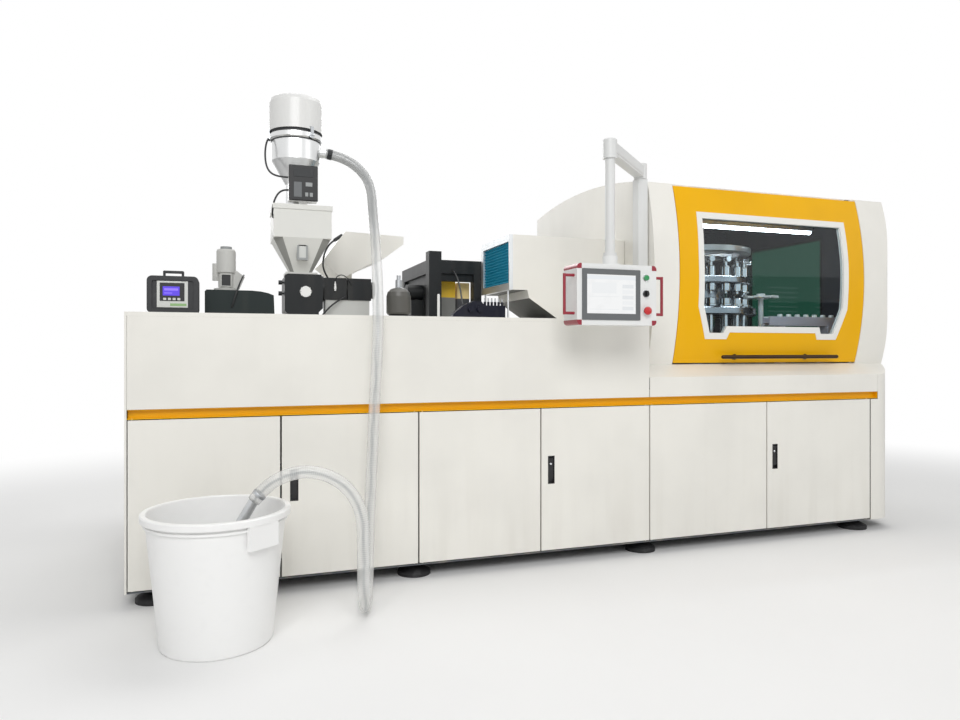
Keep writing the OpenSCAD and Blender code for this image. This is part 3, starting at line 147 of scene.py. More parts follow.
class Shader:
    """The shader node tree of a material or a world, written as expressions."""

    def __init__(self, owner: Union[bpy.types.Material, bpy.types.World]) -> None:
        """Start an empty tree.

        Args:
            owner: the material or world that the tree belongs to.
        """
        owner.use_nodes = True
        self.owner = owner
        self.tree = owner.node_tree
        self.tree.nodes.clear()

    def node(self, kind: str, settings: Optional[dict[str, Any]] = None,
             inputs: Optional[dict[Union[int, str], Any]] = None, output: Union[int, str] = 0) -> Sock:
        """Add any node.

        Args:
            kind: the node's type name.
            settings: properties that are set first.
            inputs: socket numbers or names with their values or links.
            output: the socket that is handed back.

        Returns:
            The chosen output.
        """
        made = self.tree.nodes.new(kind)
        for key, value in (settings or {}).items():
            setattr(made, key, value)
        for key, value in (inputs or {}).items():
            self.feed(made.inputs[key], value)
        return Sock(self, made.outputs[output])

    def feed(self, socket: bpy.types.NodeSocket, value: Any) -> None:
        """Link a socket, or set its own value.

        Args:
            socket: the input to fill.
            value: an output to link, or a plain value.
        """
        if isinstance(value, Sock):
            self.tree.links.new(value.socket, socket)
        elif isinstance(value, tuple) and socket.type == "RGBA":
            socket.default_value = (*value[:3], 1.0)
        else:
            socket.default_value = value

    def coords(self, stretch: Point = (1.0, 1.0, 1.0)) -> Sock:
        """Take object coordinates in metres.

        Args:
            stretch: what each axis is multiplied by.

        Returns:
            The coordinates.
        """
        raw = self.node("ShaderNodeTexCoord", output="Object")
        if stretch == (1.0, 1.0, 1.0):
            return raw
        return self.node("ShaderNodeVectorMath", {"operation": "MULTIPLY"}, {0: raw, 1: stretch})

    def axis(self, vector: Sock, name: str) -> Sock:
        """One axis of a vector."""
        return self.node("ShaderNodeSeparateXYZ", inputs={0: vector}, output=name)

    def noise(self, vector: Sock, scale: float, detail: float = 2.0) -> Sock:
        """Noise from 0 to 1."""
        return self.node("ShaderNodeTexNoise", inputs={"Vector": vector, "Scale": scale, "Detail": detail})

    def mix(self, first: Union[Colour, Sock], second: Union[Colour, Sock], factor: Value) -> Sock:
        """Blend two colours."""
        return self.node("ShaderNodeMix", {"data_type": "RGBA"}, {0: factor, 6: first, 7: second}, 2)

    def patch(self, vector: Sock, low: Pair, high: Pair) -> Sock:
        """Mask of a rectangle on a front face, its low and high corners in row frame X and Z."""
        x, z = self.axis(vector, "X"), self.axis(vector, "Z")
        return (x > low[0]) * (x < high[0]) * (z > low[1]) * (z < high[1])

    def bump(self, height: Sock, strength: float) -> Sock:
        """Normal from a height in metres."""
        return self.node("ShaderNodeBump", inputs={"Strength": strength, "Distance": 1.0, "Height": height})

    def surface(self, **sockets: Any) -> bpy.types.Material:
        """End in a Principled surface, its sockets named with underscores for spaces."""
        named = {key.replace("_", " ").title().replace("Ior", "IOR"): value for key, value in sockets.items()}
        return self.end(self.node("ShaderNodeBsdfPrincipled", inputs=named))

    def end(self, shader: Sock, kind: str = "ShaderNodeOutputMaterial") -> Any:
        """Lead a shader to an output node and return the tree's owner."""
        self.feed(self.tree.nodes.new(kind).inputs["Surface"], shader)
        return self.owner


@dataclass(frozen=True)
class Finish(ABC):
    """A named surface finish that makes its material once."""

    name: str

    @abstractmethod
    def paint(self, shader: Shader) -> bpy.types.Material:
        """Write the nodes of this finish.

        Args:
            shader: the empty tree of the material.

        Returns:
            The material.
        """

    def material(self) -> bpy.types.Material:
        """Make the material on first use, under a name that no CAD material has.

        Returns:
            The material.
        """
        full = "finish_" + self.name
        known = bpy.data.materials.get(full)
        return known or self.paint(Shader(bpy.data.materials.new(full)))


@dataclass(frozen=True)
class PowderCoat(Finish):
    """Sprayed sheet metal with a faint orange peel, soft sheet waves and dust towards the floor.

    Below the split height, in metres, it takes the lower colour where there is one.
    """

    colour: Colour
    roughness: float = 0.34
    dirt: float = 0.06
    dust_and_painted_shade: Colour = srgb(168, 160, 145)
    shine: float = 0.45
    peel: float = 0.00006
    wave: float = 0.0016
    lower: Optional[Colour] = None
    split: float = 0.0

    def paint(self, shader: Shader) -> bpy.types.Material:
        """Write the nodes of this finish.

        Args:
            shader: the empty tree of the material.

        Returns:
            The material.
        """
        spot = shader.coords()
        cloud = shader.noise(spot, 2.1, 4)
        smear = shader.noise(shader.coords((14.0, 14.0, 1.2)), 1.0, 4)
        fine = shader.noise(spot, 620.0, 2)
        swell = shader.noise(spot, 1.7, 1)
        height = shader.axis(spot, "Z")
        near_floor = height.spread(0.6, 0.05)
        soil = (near_floor * 0.75 + 0.25) * smear.spread(0.42, 0.72) * self.dirt
        tone = shader.mix(self.colour, tuple(c * 0.94 for c in self.colour), cloud.spread(0.35, 0.7))
        if self.lower:
            tone = shader.mix(self.lower, tone, height.spread(self.split - 0.002, self.split + 0.002))
        normal = shader.bump(fine * self.peel + swell * self.wave, 0.6)
        return shader.surface(base_color=shader.mix(tone, self.dust_and_painted_shade, soil),
                              roughness=self.roughness + (smear - 0.5) * 0.12 + soil * 0.5,
                              normal=normal, specular_ior_level=self.shine)


@dataclass(frozen=True)
class Enamel(PowderCoat):
    """Coat of a casting or a small case, with no sheet waves."""

    wave: float = 0.0


@dataclass(frozen=True)
class BareMetal(Finish):
    """Machined, drawn or polished metal with tool marks along one axis."""

    colour: Colour
    roughness: float = 0.24
    marks: Point = (600.0, 600.0, 8.0)
    stain: float = 0.3
    depth: float = 0.00004

    def paint(self, shader: Shader) -> bpy.types.Material:
        """Write the nodes of this finish.

        Args:
            shader: the empty tree of the material.

        Returns:
            The material.
        """
        lines = shader.noise(shader.coords(self.marks), 1.0, 3)
        cloud = shader.noise(shader.coords(), 14.0, 4)
        dull = cloud.spread(0.45, 0.75) * self.stain
        colour = shader.mix(self.colour, tuple(c * 0.55 for c in self.colour), dull)
        return shader.surface(base_color=colour, metallic=1.0, normal=shader.bump(lines * self.depth, 0.5),
                              roughness=self.roughness + (lines - 0.5) * 0.14 + dull * 0.25)


@dataclass(frozen=True)
class Moulded(Finish):
    """Moulded plastic, rubber or enamel with a fine grain and rubbed patches."""

    colour: Colour
    roughness: float = 0.45
    grain: float = 900.0
    depth: float = 0.00008
    scuff: float = 0.2
    coat: float = 0.0

    def paint(self, shader: Shader) -> bpy.types.Material:
        """Write the nodes of this finish.

        Args:
            shader: the empty tree of the material.

        Returns:
            The material.
        """
        spot = shader.coords()
        grain = shader.noise(spot, self.grain, 2)
        rub = shader.noise(spot, 22.0, 5).spread(0.52, 0.74) * self.scuff
        pale = tuple(c * 0.7 + 0.12 for c in self.colour)
        return shader.surface(base_color=shader.mix(self.colour, pale, rub),
                              roughness=self.roughness + rub * 0.4 + (grain - 0.5) * 0.08,
                              normal=shader.bump(grain * self.depth, 0.6), coat_weight=self.coat)


@dataclass(frozen=True)
class ClearSheet(Finish):
    """Flat safety glazing: tinted straight through, glossy towards the edges, with faint wiping marks."""

    tint: Colour
    gloss: float = 0.9

    def paint(self, shader: Shader) -> bpy.types.Material:
        """Write the nodes of this finish.

        Args:
            shader: the empty tree of the material.

        Returns:
            The material.
        """
        wipe = shader.noise(shader.coords((3.0, 3.0, 9.0)), 2.0, 4)
        through = shader.node("ShaderNodeBsdfTransparent", inputs={"Color": self.tint})
        shine = shader.node("ShaderNodeBsdfGlossy", inputs={
            "Color": (0.9, 0.93, 0.95), "Roughness": 0.02 + wipe.spread(0.45, 0.8) * 0.05})
        facing = shader.node("ShaderNodeLayerWeight", inputs={"Blend": 0.5}, output="Facing")
        outer = 1.0 - shader.node("ShaderNodeNewGeometry", output="Backfacing")
        edge = (facing * facing * facing * facing * 0.7 + 0.04) * outer * self.gloss
        return shader.end(shader.node("ShaderNodeMixShader", inputs={0: edge, 1: through, 2: shine}))


@dataclass(frozen=True)
class HoseFilm(Finish):
    """Clear spiral-wound hose: the wire helix shows in a clear wall, with lengthwise streaks of painted reflection
    and shade, and painted shade on its upper part.
    """

    colour: Colour
    shade: Colour
    wire: Colour
    # painted shade: the colour the hose takes towards its top
    dust_and_painted_shade: Colour
    turns: float

    def paint(self, shader: Shader) -> bpy.types.Material:
        """Write the nodes of this finish; the UV map runs round the hose and along it.

        Args:
            shader: the empty tree of the material.

        Returns:
            The material.
        """
        across = shader.node("ShaderNodeTexCoord", output="UV")
        u, v = shader.axis(across, "X"), shader.axis(across, "Y")
        ridge = ((v * self.turns + u) * (2 * math.pi)).wave() * 0.5 + 0.5
        helix = ridge.spread(0.72, 0.96)
        haze = shader.noise(shader.coords(), 9.0, 4)
        # painted reflection and shade: lengthwise light and dark streaks round the hose
        painted_reflection_streak = ((u * 4 + haze * 0.7) * (2 * math.pi)).wave().spread(0.1, 0.95)
        # painted shade: the hose darkens and grows less clear from 1.5 m to 1.8 m high
        upper = shader.axis(shader.coords(), "Z").spread(1.5, 1.8)
        colour = shader.mix(shader.mix(self.colour, self.shade, painted_reflection_streak * 0.8), self.wire, helix * 0.3)
        colour = shader.mix(colour, self.dust_and_painted_shade, upper * 0.8)
        return shader.surface(base_color=colour, roughness=haze * 0.12 + 0.16,
                              alpha=helix * 0.1 + painted_reflection_streak * 0.26 + haze * 0.08 + upper * 0.24 + 0.34,
                              normal=shader.bump(ridge * 0.0002, 0.6), coat_weight=0.4)


@dataclass(frozen=True)
class LampTube(Finish):
    """Lit diffuser of a strip light."""

    colour: Colour
    strength: float

    def paint(self, shader: Shader) -> bpy.types.Material:
        """Write the nodes of this finish.

        Args:
            shader: the empty tree of the material.

        Returns:
            The material.
        """
        along = shader.axis(shader.coords(), "X")
        dots = ((along * 700.0).wave() * 0.5 + 0.5) * 0.12
        glow = shader.mix(self.colour, (1.0, 1.0, 1.0), dots)
        return shader.surface(base_color=self.colour, roughness=0.3, emission_color=glow,
                              emission_strength=self.strength)


@dataclass(frozen=True)
class PanelImage(Finish):
    """Lit operator screen with plain unlabelled fields.

    The fields are (left, bottom, right, top, colour) in millimetres from the machine's corner.
    """

    ground: Colour
    fields: tuple[tuple[float, float, float, float, Colour], ...]
    glow: float

    def paint(self, shader: Shader) -> bpy.types.Material:
        """Write the nodes of this finish.

        Args:
            shader: the empty tree of the material.

        Returns:
            The material.
        """
        spot = shader.coords()
        smudge = shader.noise(spot, 26.0, 4).spread(0.45, 0.75)
        colour = shader.mix(self.ground, tuple(c * 0.96 for c in self.ground), smudge)
        for left, bottom, right, top, tone in self.fields:
            low, high = place(left, 0, bottom), place(right, 0, top)
            colour = shader.mix(colour, tone, shader.patch(spot, (low.x, low.z), (high.x, high.z)))
        return shader.surface(base_color=(0.02, 0.02, 0.022), roughness=0.14 + smudge * 0.12,
                              emission_color=colour, emission_strength=self.glow)


class Tone(Enum):
    """Colours of the machine, read from the photograph as display values."""

    WARM_WHITE = srgb(238, 236, 229)
    COOL_WHITE = srgb(232, 233, 232)
    AMBER = srgb(240, 180, 0)
    FRAME = srgb(88, 92, 98)
    NAVY = srgb(30, 36, 48)
    BLACK = srgb(25, 28, 30)
    RUBBER = srgb(28, 28, 30)
    DARK_GREEN = srgb(28, 38, 38)
    CRIMSON = srgb(146, 16, 42)
    # painted shade: the chamber's inner faces are white sheet, coloured navy for the shade inside
    BEZEL = srgb(98, 101, 103)
    TEAL = srgb(4, 148, 180)
    LILAC = srgb(206, 202, 216)
    PALE_GREY = srgb(196, 197, 194)
    BOTTLE = srgb(86, 85, 81)
    VALVE_NAVY = srgb(12, 16, 34)
    YELLOW = srgb(226, 186, 44)
    PALE_YELLOW = srgb(240, 216, 152)
    STEEL = srgb(196, 198, 200)
    CHROME = srgb(226, 228, 230)
    BRONZE = srgb(70, 56, 44)
    MOTOR = srgb(70, 88, 104)
    # painted shade: dark grey for the filter hood's downward-facing slope
    SLOPE = srgb(84, 85, 82)


class Finishes:
    """Every finish on the machine."""

    SHEET = PowderCoat("warm_white_sheet", Tone.WARM_WHITE.value)
    DOOR = PowderCoat("warm_white_door", Tone.WARM_WHITE.value, dirt=0.09)
    AMBER = PowderCoat("amber_sheet", Tone.AMBER.value, roughness=0.38, dirt=0.04, shine=0.22)
    CHANNEL = PowderCoat("amber_channel", Tone.AMBER.value, roughness=0.36, dirt=0.08, shine=0.3)
    FRAME = PowderCoat("frame_enamel", Tone.FRAME.value, roughness=0.42, dirt=0.4)
    # painted shade for the faces that look into the chamber
    CHAMBER_PAINTED_SHADE = PowderCoat("chamber_painted_shade", Tone.NAVY.value, roughness=0.36, dirt=0.15)
    HOOD_SLOPE_PAINTED_SHADE = PowderCoat("hood_slope_painted_shade", Tone.SLOPE.value, roughness=0.5, dirt=0.2)
    PANEL = Enamel("panel_case_white", Tone.COOL_WHITE.value, roughness=0.36, dirt=0.05)
    ARM = Enamel("pendant_grey", srgb(222, 223, 222), roughness=0.36, dirt=0.05)
    MACHINE_BLACK = Enamel("machine_black", Tone.BLACK.value, roughness=0.4, dirt=0.1, shine=0.3)
    COVER_GREEN = Enamel("drive_cover_green", Tone.DARK_GREEN.value, roughness=0.4, dirt=0.08, shine=0.25)
    HOPPER = Enamel("hopper_grey_white", srgb(222, 222, 217), roughness=0.36, dirt=0.06)
    # painted shade: mid-grey for the white hopper's chamfers
    HOPPER_CHAMFER_PAINTED_SHADE = Enamel("hopper_chamfer_painted_shade", srgb(158, 158, 154), roughness=0.4, dirt=0.06)
    LUBRICATOR = Enamel("lubricator_grey", srgb(196, 196, 192), roughness=0.36, dirt=0.08)
    BOTTLE = Enamel("bottle_grey", Tone.BOTTLE.value, roughness=0.36, dirt=0.1)
    VALVES = Enamel("valve_navy", Tone.VALVE_NAVY.value, roughness=0.36, dirt=0.1, shine=0.3)
    YELLOW = Enamel("pump_yellow", Tone.YELLOW.value, roughness=0.4, dirt=0.15,
                    lower=srgb(122, 123, 120), split=1.405)
    PALE_YELLOW = Enamel("pump_pale_yellow", Tone.PALE_YELLOW.value, roughness=0.42, dirt=0.1,
                         lower=srgb(64, 66, 70), split=1.4)
    PALE_BASE = Enamel("pale_base_grey", Tone.PALE_GREY.value, roughness=0.42, dirt=0.1)
    MOTOR = Enamel("motor_blue_grey", Tone.MOTOR.value, roughness=0.42, dirt=0.3)
    RAIL = Enamel("rail_lilac", Tone.LILAC.value, roughness=0.34, dirt=0.03)
    TURRET = Enamel("turret_grey", srgb(92, 97, 106), roughness=0.34, dirt=0.06)

    RUBBER = Moulded("foot_rubber", Tone.RUBBER.value, roughness=0.7, depth=0.0002, scuff=0.35)
    LOCK = Moulded("lock_black", srgb(26, 26, 28), roughness=0.4, scuff=0.12)
    SEAL = Moulded("seal_white", srgb(236, 235, 230), roughness=0.55, scuff=0.08)
    CRIMSON = Moulded("guard_crimson", Tone.CRIMSON.value, roughness=0.3, scuff=0.05, coat=0.4)
    BEZEL = Moulded("bezel_grey", Tone.BEZEL.value, roughness=0.46, scuff=0.05)
    GREEN_CAP = Moulded("cap_green", srgb(20, 140, 74), roughness=0.28, scuff=0.02, coat=0.5)
    RED_CAP = Moulded("cap_red", srgb(196, 24, 30), roughness=0.28, scuff=0.02, coat=0.5)
    BLACK_CAP = Moulded("cap_black", srgb(30, 30, 32), roughness=0.32, scuff=0.05)
    HEAD = Moulded("loader_white", srgb(224, 224, 222), roughness=0.32, scuff=0.05, coat=0.2)
    CASE = Moulded("case_black", srgb(38, 40, 42), roughness=0.58, depth=0.00025, scuff=0.18)
    FACE = Moulded("face_black", srgb(22, 23, 25), roughness=0.5, scuff=0.04)
    PALE_PLATE = Moulded("plate_pale", srgb(206, 208, 204), roughness=0.4, scuff=0.05)
    KEY_GREY = Moulded("key_grey", srgb(150, 153, 153), roughness=0.45, scuff=0.04)
    KEY_GREEN = Moulded("key_green", srgb(140, 178, 120), roughness=0.45, scuff=0.04)
    WHITE_PLASTIC = Moulded("white_plastic", srgb(240, 240, 238), roughness=0.36, scuff=0.04)
    TUB = Moulded("tub_white", srgb(243, 243, 242), roughness=0.34, grain=300.0, scuff=0.1)
    PLEATS = Moulded("filter_teal", Tone.TEAL.value, roughness=0.8, grain=1400.0, depth=0.0004, scuff=0.12)
    CABLE = Moulded("cable_black", srgb(32, 33, 35), roughness=0.5, scuff=0.05)

    STEEL = BareMetal("brushed_steel", Tone.STEEL.value, roughness=0.3)
    RECEIVER = BareMetal("receiver_steel", srgb(222, 223, 223), roughness=0.3, marks=(8.0, 8.0, 700.0),
                         stain=0.12)
    CHROME = BareMetal("mould_chrome", Tone.CHROME.value, roughness=0.12, marks=(40.0, 40.0, 900.0),
                       stain=0.12)
    CAROUSEL = BareMetal("carousel_steel", srgb(176, 179, 184), roughness=0.24, marks=(60.0, 60.0, 500.0))
    BRONZE = BareMetal("bar_bronze", Tone.BRONZE.value, roughness=0.34, marks=(8.0, 600.0, 600.0), stain=0.2)
    ZINC = BareMetal("zinc_plate", srgb(184, 187, 190), roughness=0.38, marks=(30.0, 30.0, 30.0),
                     stain=0.35)
    SILVER = BareMetal("filter_frame_silver", srgb(224, 227, 229), roughness=0.42, marks=(300.0, 300.0, 20.0),
                       stain=0.1)

    PANE = ClearSheet("window_pane_clear", (0.84, 0.89, 0.91), gloss=0.6)
    GREEN_PANE = ClearSheet("end_pane_green", (0.09, 0.25, 0.19), gloss=0.6)
    # of the four colours, the second darkens the painted reflection streaks and the fourth is painted shade on the
    # hose's upper part
    HOSE = HoseFilm("hose_clear", srgb(240, 240, 238), srgb(168, 171, 171), srgb(196, 198, 197),
                    srgb(150, 152, 152), 130.0)
    LAMP = LampTube("lamp_diffuser", (0.93, 0.97, 1.0), 28.0)


def dress(node: str, finish: Finish) -> bpy.types.Object:
    """Give a whole CAD node one finish.

    Args:
        node: the CAD node's name.
        finish: what it is coated with.

    Returns:
        The node's object.
    """
    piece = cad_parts[node]
    piece.data.materials.clear()
    piece.data.materials.append(finish.material())
    return piece


def dress_all(**finishes: Finish) -> None:
    """Give CAD nodes their finishes.

    Args:
        finishes: the nodes' names with what they are coated with.
    """
    for node, finish in finishes.items():
        dress(node, finish)


def touch_up(node: str, finish: Finish, test: Test) -> None:
    """Give another finish to the faces of a CAD node that pass a test.

    Args:
        node: the CAD node's name.
        finish: what those faces are coated with.
        test: takes a face's middle in millimetres from the machine's corner and its normal.
    """
    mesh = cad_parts[node].data
    mesh.materials.append(finish.material())
    number = len(mesh.materials) - 1
    for face in mesh.polygons:
        if test(corner_mm(face.center), face.normal):
            face.material_index = number


def inside(low: Point, high: Point) -> Test:
    """Make a test for faces whose middle lies in a box.

    Args:
        low: the box's low corner in millimetres from the machine's corner.
        high: its high corner.

    Returns:
        The test.
    """
    def check(middle: Vector, _normal: Vector) -> bool:
        """Compare each axis."""
        return all(a <= m <= b for a, m, b in zip(low, middle, high))

    return check


def add_object(name: str, data: bpy.types.ID) -> bpy.types.Object:
    """Add an object to the scene.

    Args:
        name: the object's name.
        data: its mesh, lamp or camera.

    Returns:
        The new object.
    """
    made = bpy.data.objects.new(name, data)
    bpy.context.scene.collection.objects.link(made)
    return made


def add_piece(name: str, mesh: bpy.types.Mesh, body: str) -> bpy.types.Object:
    """Add a mesh to the scene as a piece that rides on a body.

    Args:
        name: the piece's name.
        mesh: its faces in the row frame, with their finish.
        body: the CAD body that it moves with.

    Returns:
        The new object.
    """
    piece = add_object(name, mesh)
    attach(piece, body)
    LOG.info("piece %s on %s", name, body)
    return piece


def make_piece(name: str, shape: bmesh.types.BMesh, finish: Finish, body: str,
               smooth: bool = False) -> bpy.types.Object:
    """Turn a bmesh into a piece that rides on a body.

    Args:
        name: the piece's name.
        shape: its faces in the row frame, used up here.
        finish: its surface.
        body: the CAD body that it moves with.
        smooth: whether its faces are shaded smooth.

    Returns:
        The new object.
    """
    mesh = bpy.data.meshes.new(name)
    bmesh.ops.recalc_face_normals(shape, faces=shape.faces)
    shape.to_mesh(mesh)
    shape.free()
    mesh.materials.append(finish.material())
    for face in mesh.polygons:
        face.use_smooth = smooth
    return add_piece(name, mesh, body)


def add_slab(shape: bmesh.types.BMesh, low: Point, high: Point, bevel: float) -> None:
    """Add a box with rounded edges.

    Args:
        shape: the bmesh to add to.
        low: the box's low corner in millimetres from the machine's corner.
        high: its high corner.
        bevel: how far the edges are rounded, in millimetres.
    """
    a, b = place(*low), place(*high)
    made = bmesh.ops.create_cube(shape, size=1.0)["verts"]
    bmesh.ops.scale(shape, vec=b - a, verts=made)
    bmesh.ops.translate(shape, vec=(a + b) / 2, verts=made)
    edges = list({edge for vert in made for edge in vert.link_edges})
    bmesh.ops.bevel(shape, geom=edges, offset=bevel / 1000, segments=3, profile=0.5, affect="EDGES")


def add_lathe(shape: bmesh.types.BMesh, middle: Point, along: Vector, profile: Profile, steps: int) -> None:
    """Turn a profile about an axis.

    Args:
        shape: the bmesh to add to.
        middle: the axis point in millimetres from the machine's corner.
        along: the axis direction.
        profile: (radius, distance along the axis) pairs in millimetres, ending on the axis or closed.
        steps: faces round the axis.
    """
    turn = UP.rotation_difference(along.normalized()).to_matrix()
    rings = []
    for i in range(steps):
        angle = 2 * math.pi * i / steps
        ring = [place(*middle) + turn @ Vector((r * math.cos(angle), r * math.sin(angle), h)) / 1000
                for r, h in profile]
        rings.append([shape.verts.new(point) for point in ring])
    for i in range(steps):
        first, second = rings[i], rings[(i + 1) % steps]
        for k in range(len(profile) - 1):
            shape.faces.new((first[k], second[k], second[k + 1], first[k + 1]))
    bmesh.ops.remove_doubles(shape, verts=shape.verts, dist=1e-6)


def make_slabs(name: str, boxes: Sequence[Box], bevel: float, finish: Finish,
               body: str = MACHINE) -> None:
    """Make a piece of boxes with rounded edges.

    Args:
        name: the piece's name.
        boxes: their low and high corners in millimetres from the machine's corner.
        bevel: how far the edges are rounded, in millimetres.
        finish: the surface.
        body: the CAD body that it moves with.
    """
    shape = bmesh.new()
    for low, high in boxes:
        add_slab(shape, low, high, bevel)
    make_piece(name, shape, finish, body)


def make_turned(name: str, middle: Point, along: Vector, profile: Profile, steps: int,
                finish: Finish, body: str = MACHINE) -> None:
    """Make a piece turned about an axis.

    Args:
        name: the piece's name.
        middle: the axis point in millimetres from the machine's corner.
        along: the axis direction.
        profile: (radius, distance along the axis) pairs in millimetres.
        steps: faces round the axis.
        finish: the surface.
        body: the CAD body that it moves with.
    """
    shape = bmesh.new()
    add_lathe(shape, middle, along, profile, steps)
    make_piece(name, shape, finish, body)


@dataclass
class ScrewField:
    """Zinc-plated socket head screws set on points by a Geometry Nodes tree.

    Points and sizes are in millimetres; the socket's width and depth are parts of the head's.
    """

    name: str
    points: Sequence[Point]
    facing: Point
    radius: float = 7.0
    height: float = 3.5
    body: str = MACHINE
    slot: str = "pin_steel"
    sides: int = 18
    socket_width: float = 0.55
    socket_depth: float = 0.6

    def tree(self) -> bpy.types.NodeTree:
        """Make the tree that sets a screw on every point, on first use.

        Returns:
            The tree.
        """
        known = bpy.data.node_groups.get("screw_heads")
        if known:
            return known
        group = bpy.data.node_groups.new("screw_heads", "GeometryNodeTree")
        for name, kind in (("Points", "Geometry"), ("Head Radius", "Float"), ("Head Height", "Float"),
                           ("Facing", "Vector"), ("Coating", "Material")):
            group.interface.new_socket(name, in_out="INPUT", socket_type="NodeSocket" + kind)
        group.interface.new_socket("Screws", in_out="OUTPUT", socket_type="NodeSocketGeometry")

        def node(kind: str, **inputs: Any) -> bpy.types.Node:
            """Add a node.

            Args:
                kind: the node's type name.
                inputs: values or other nodes' outputs, named with underscores for spaces.

            Returns:
                The node.
            """
            made = group.nodes.new(kind)
            for key, value in inputs.items():
                socket = made.inputs[key.replace("_", " ")]
                if isinstance(value, bpy.types.NodeSocket):
                    group.links.new(value, socket)
                else:
                    socket.default_value = value
            return made

        given = node("NodeGroupInput").outputs
        head = node("GeometryNodeMeshCylinder", Vertices=self.sides, Radius=given["Head Radius"],
                    Depth=given["Head Height"]).outputs
        inset = node("GeometryNodeExtrudeMesh", Mesh=head["Mesh"], Selection=head["Top"],
                     Offset_Scale=0.0).outputs
        narrow = node("GeometryNodeScaleElements", Geometry=inset["Mesh"], Selection=inset["Top"],
                      Scale=self.socket_width)
        depth = node("ShaderNodeMath", Value=given["Head Height"])
        depth.operation = "MULTIPLY"
        depth.inputs[1].default_value = -self.socket_depth
        sink = node("GeometryNodeExtrudeMesh", Mesh=narrow.outputs["Geometry"], Selection=inset["Top"],
                    Offset_Scale=depth.outputs[0])
        turn = node("FunctionNodeAlignRotationToVector", Vector=given["Facing"])
        turn.axis = "Z"
        spread = node("GeometryNodeInstanceOnPoints", Points=given["Points"], Instance=sink.outputs["Mesh"],
                      Rotation=turn.outputs["Rotation"])
        solid = node("GeometryNodeRealizeInstances", Geometry=spread.outputs["Instances"])
        coat = node("GeometryNodeSetMaterial", Geometry=solid.outputs["Geometry"], Material=given["Coating"])
        node("NodeGroupOutput", Screws=coat.outputs["Geometry"])
        return group

    def build(self) -> None:
        """Set the screws as one object of plain mesh."""
        lift = Vector(self.facing).normalized() * self.height / 2000
        seeds = bpy.data.meshes.new(self.name + "_seeds")
        seeds.from_pydata([place(*point) + lift for point in self.points], [], [])
        holder = add_object(self.name + "_seeds", seeds)
        group = self.tree()
        modifier = holder.modifiers.new("screws", "NODES")
        modifier.node_group = group
        values = {"Head Radius": self.radius / 1000, "Head Height": self.height / 1000,
                  "Facing": Vector(self.facing), "Coating": Finishes.ZINC.material()}
        for item in group.interface.items_tree:
            if item.in_out == "INPUT" and item.name in values:
                modifier[item.identifier] = values[item.name]
        bpy.context.view_layer.update()
        evaluated = holder.evaluated_get(bpy.context.evaluated_depsgraph_get())
        mesh = bpy.data.meshes.new_from_object(evaluated)
        bpy.data.objects.remove(holder)
        mesh.name = self.name
        add_piece(self.name, mesh, self.body)


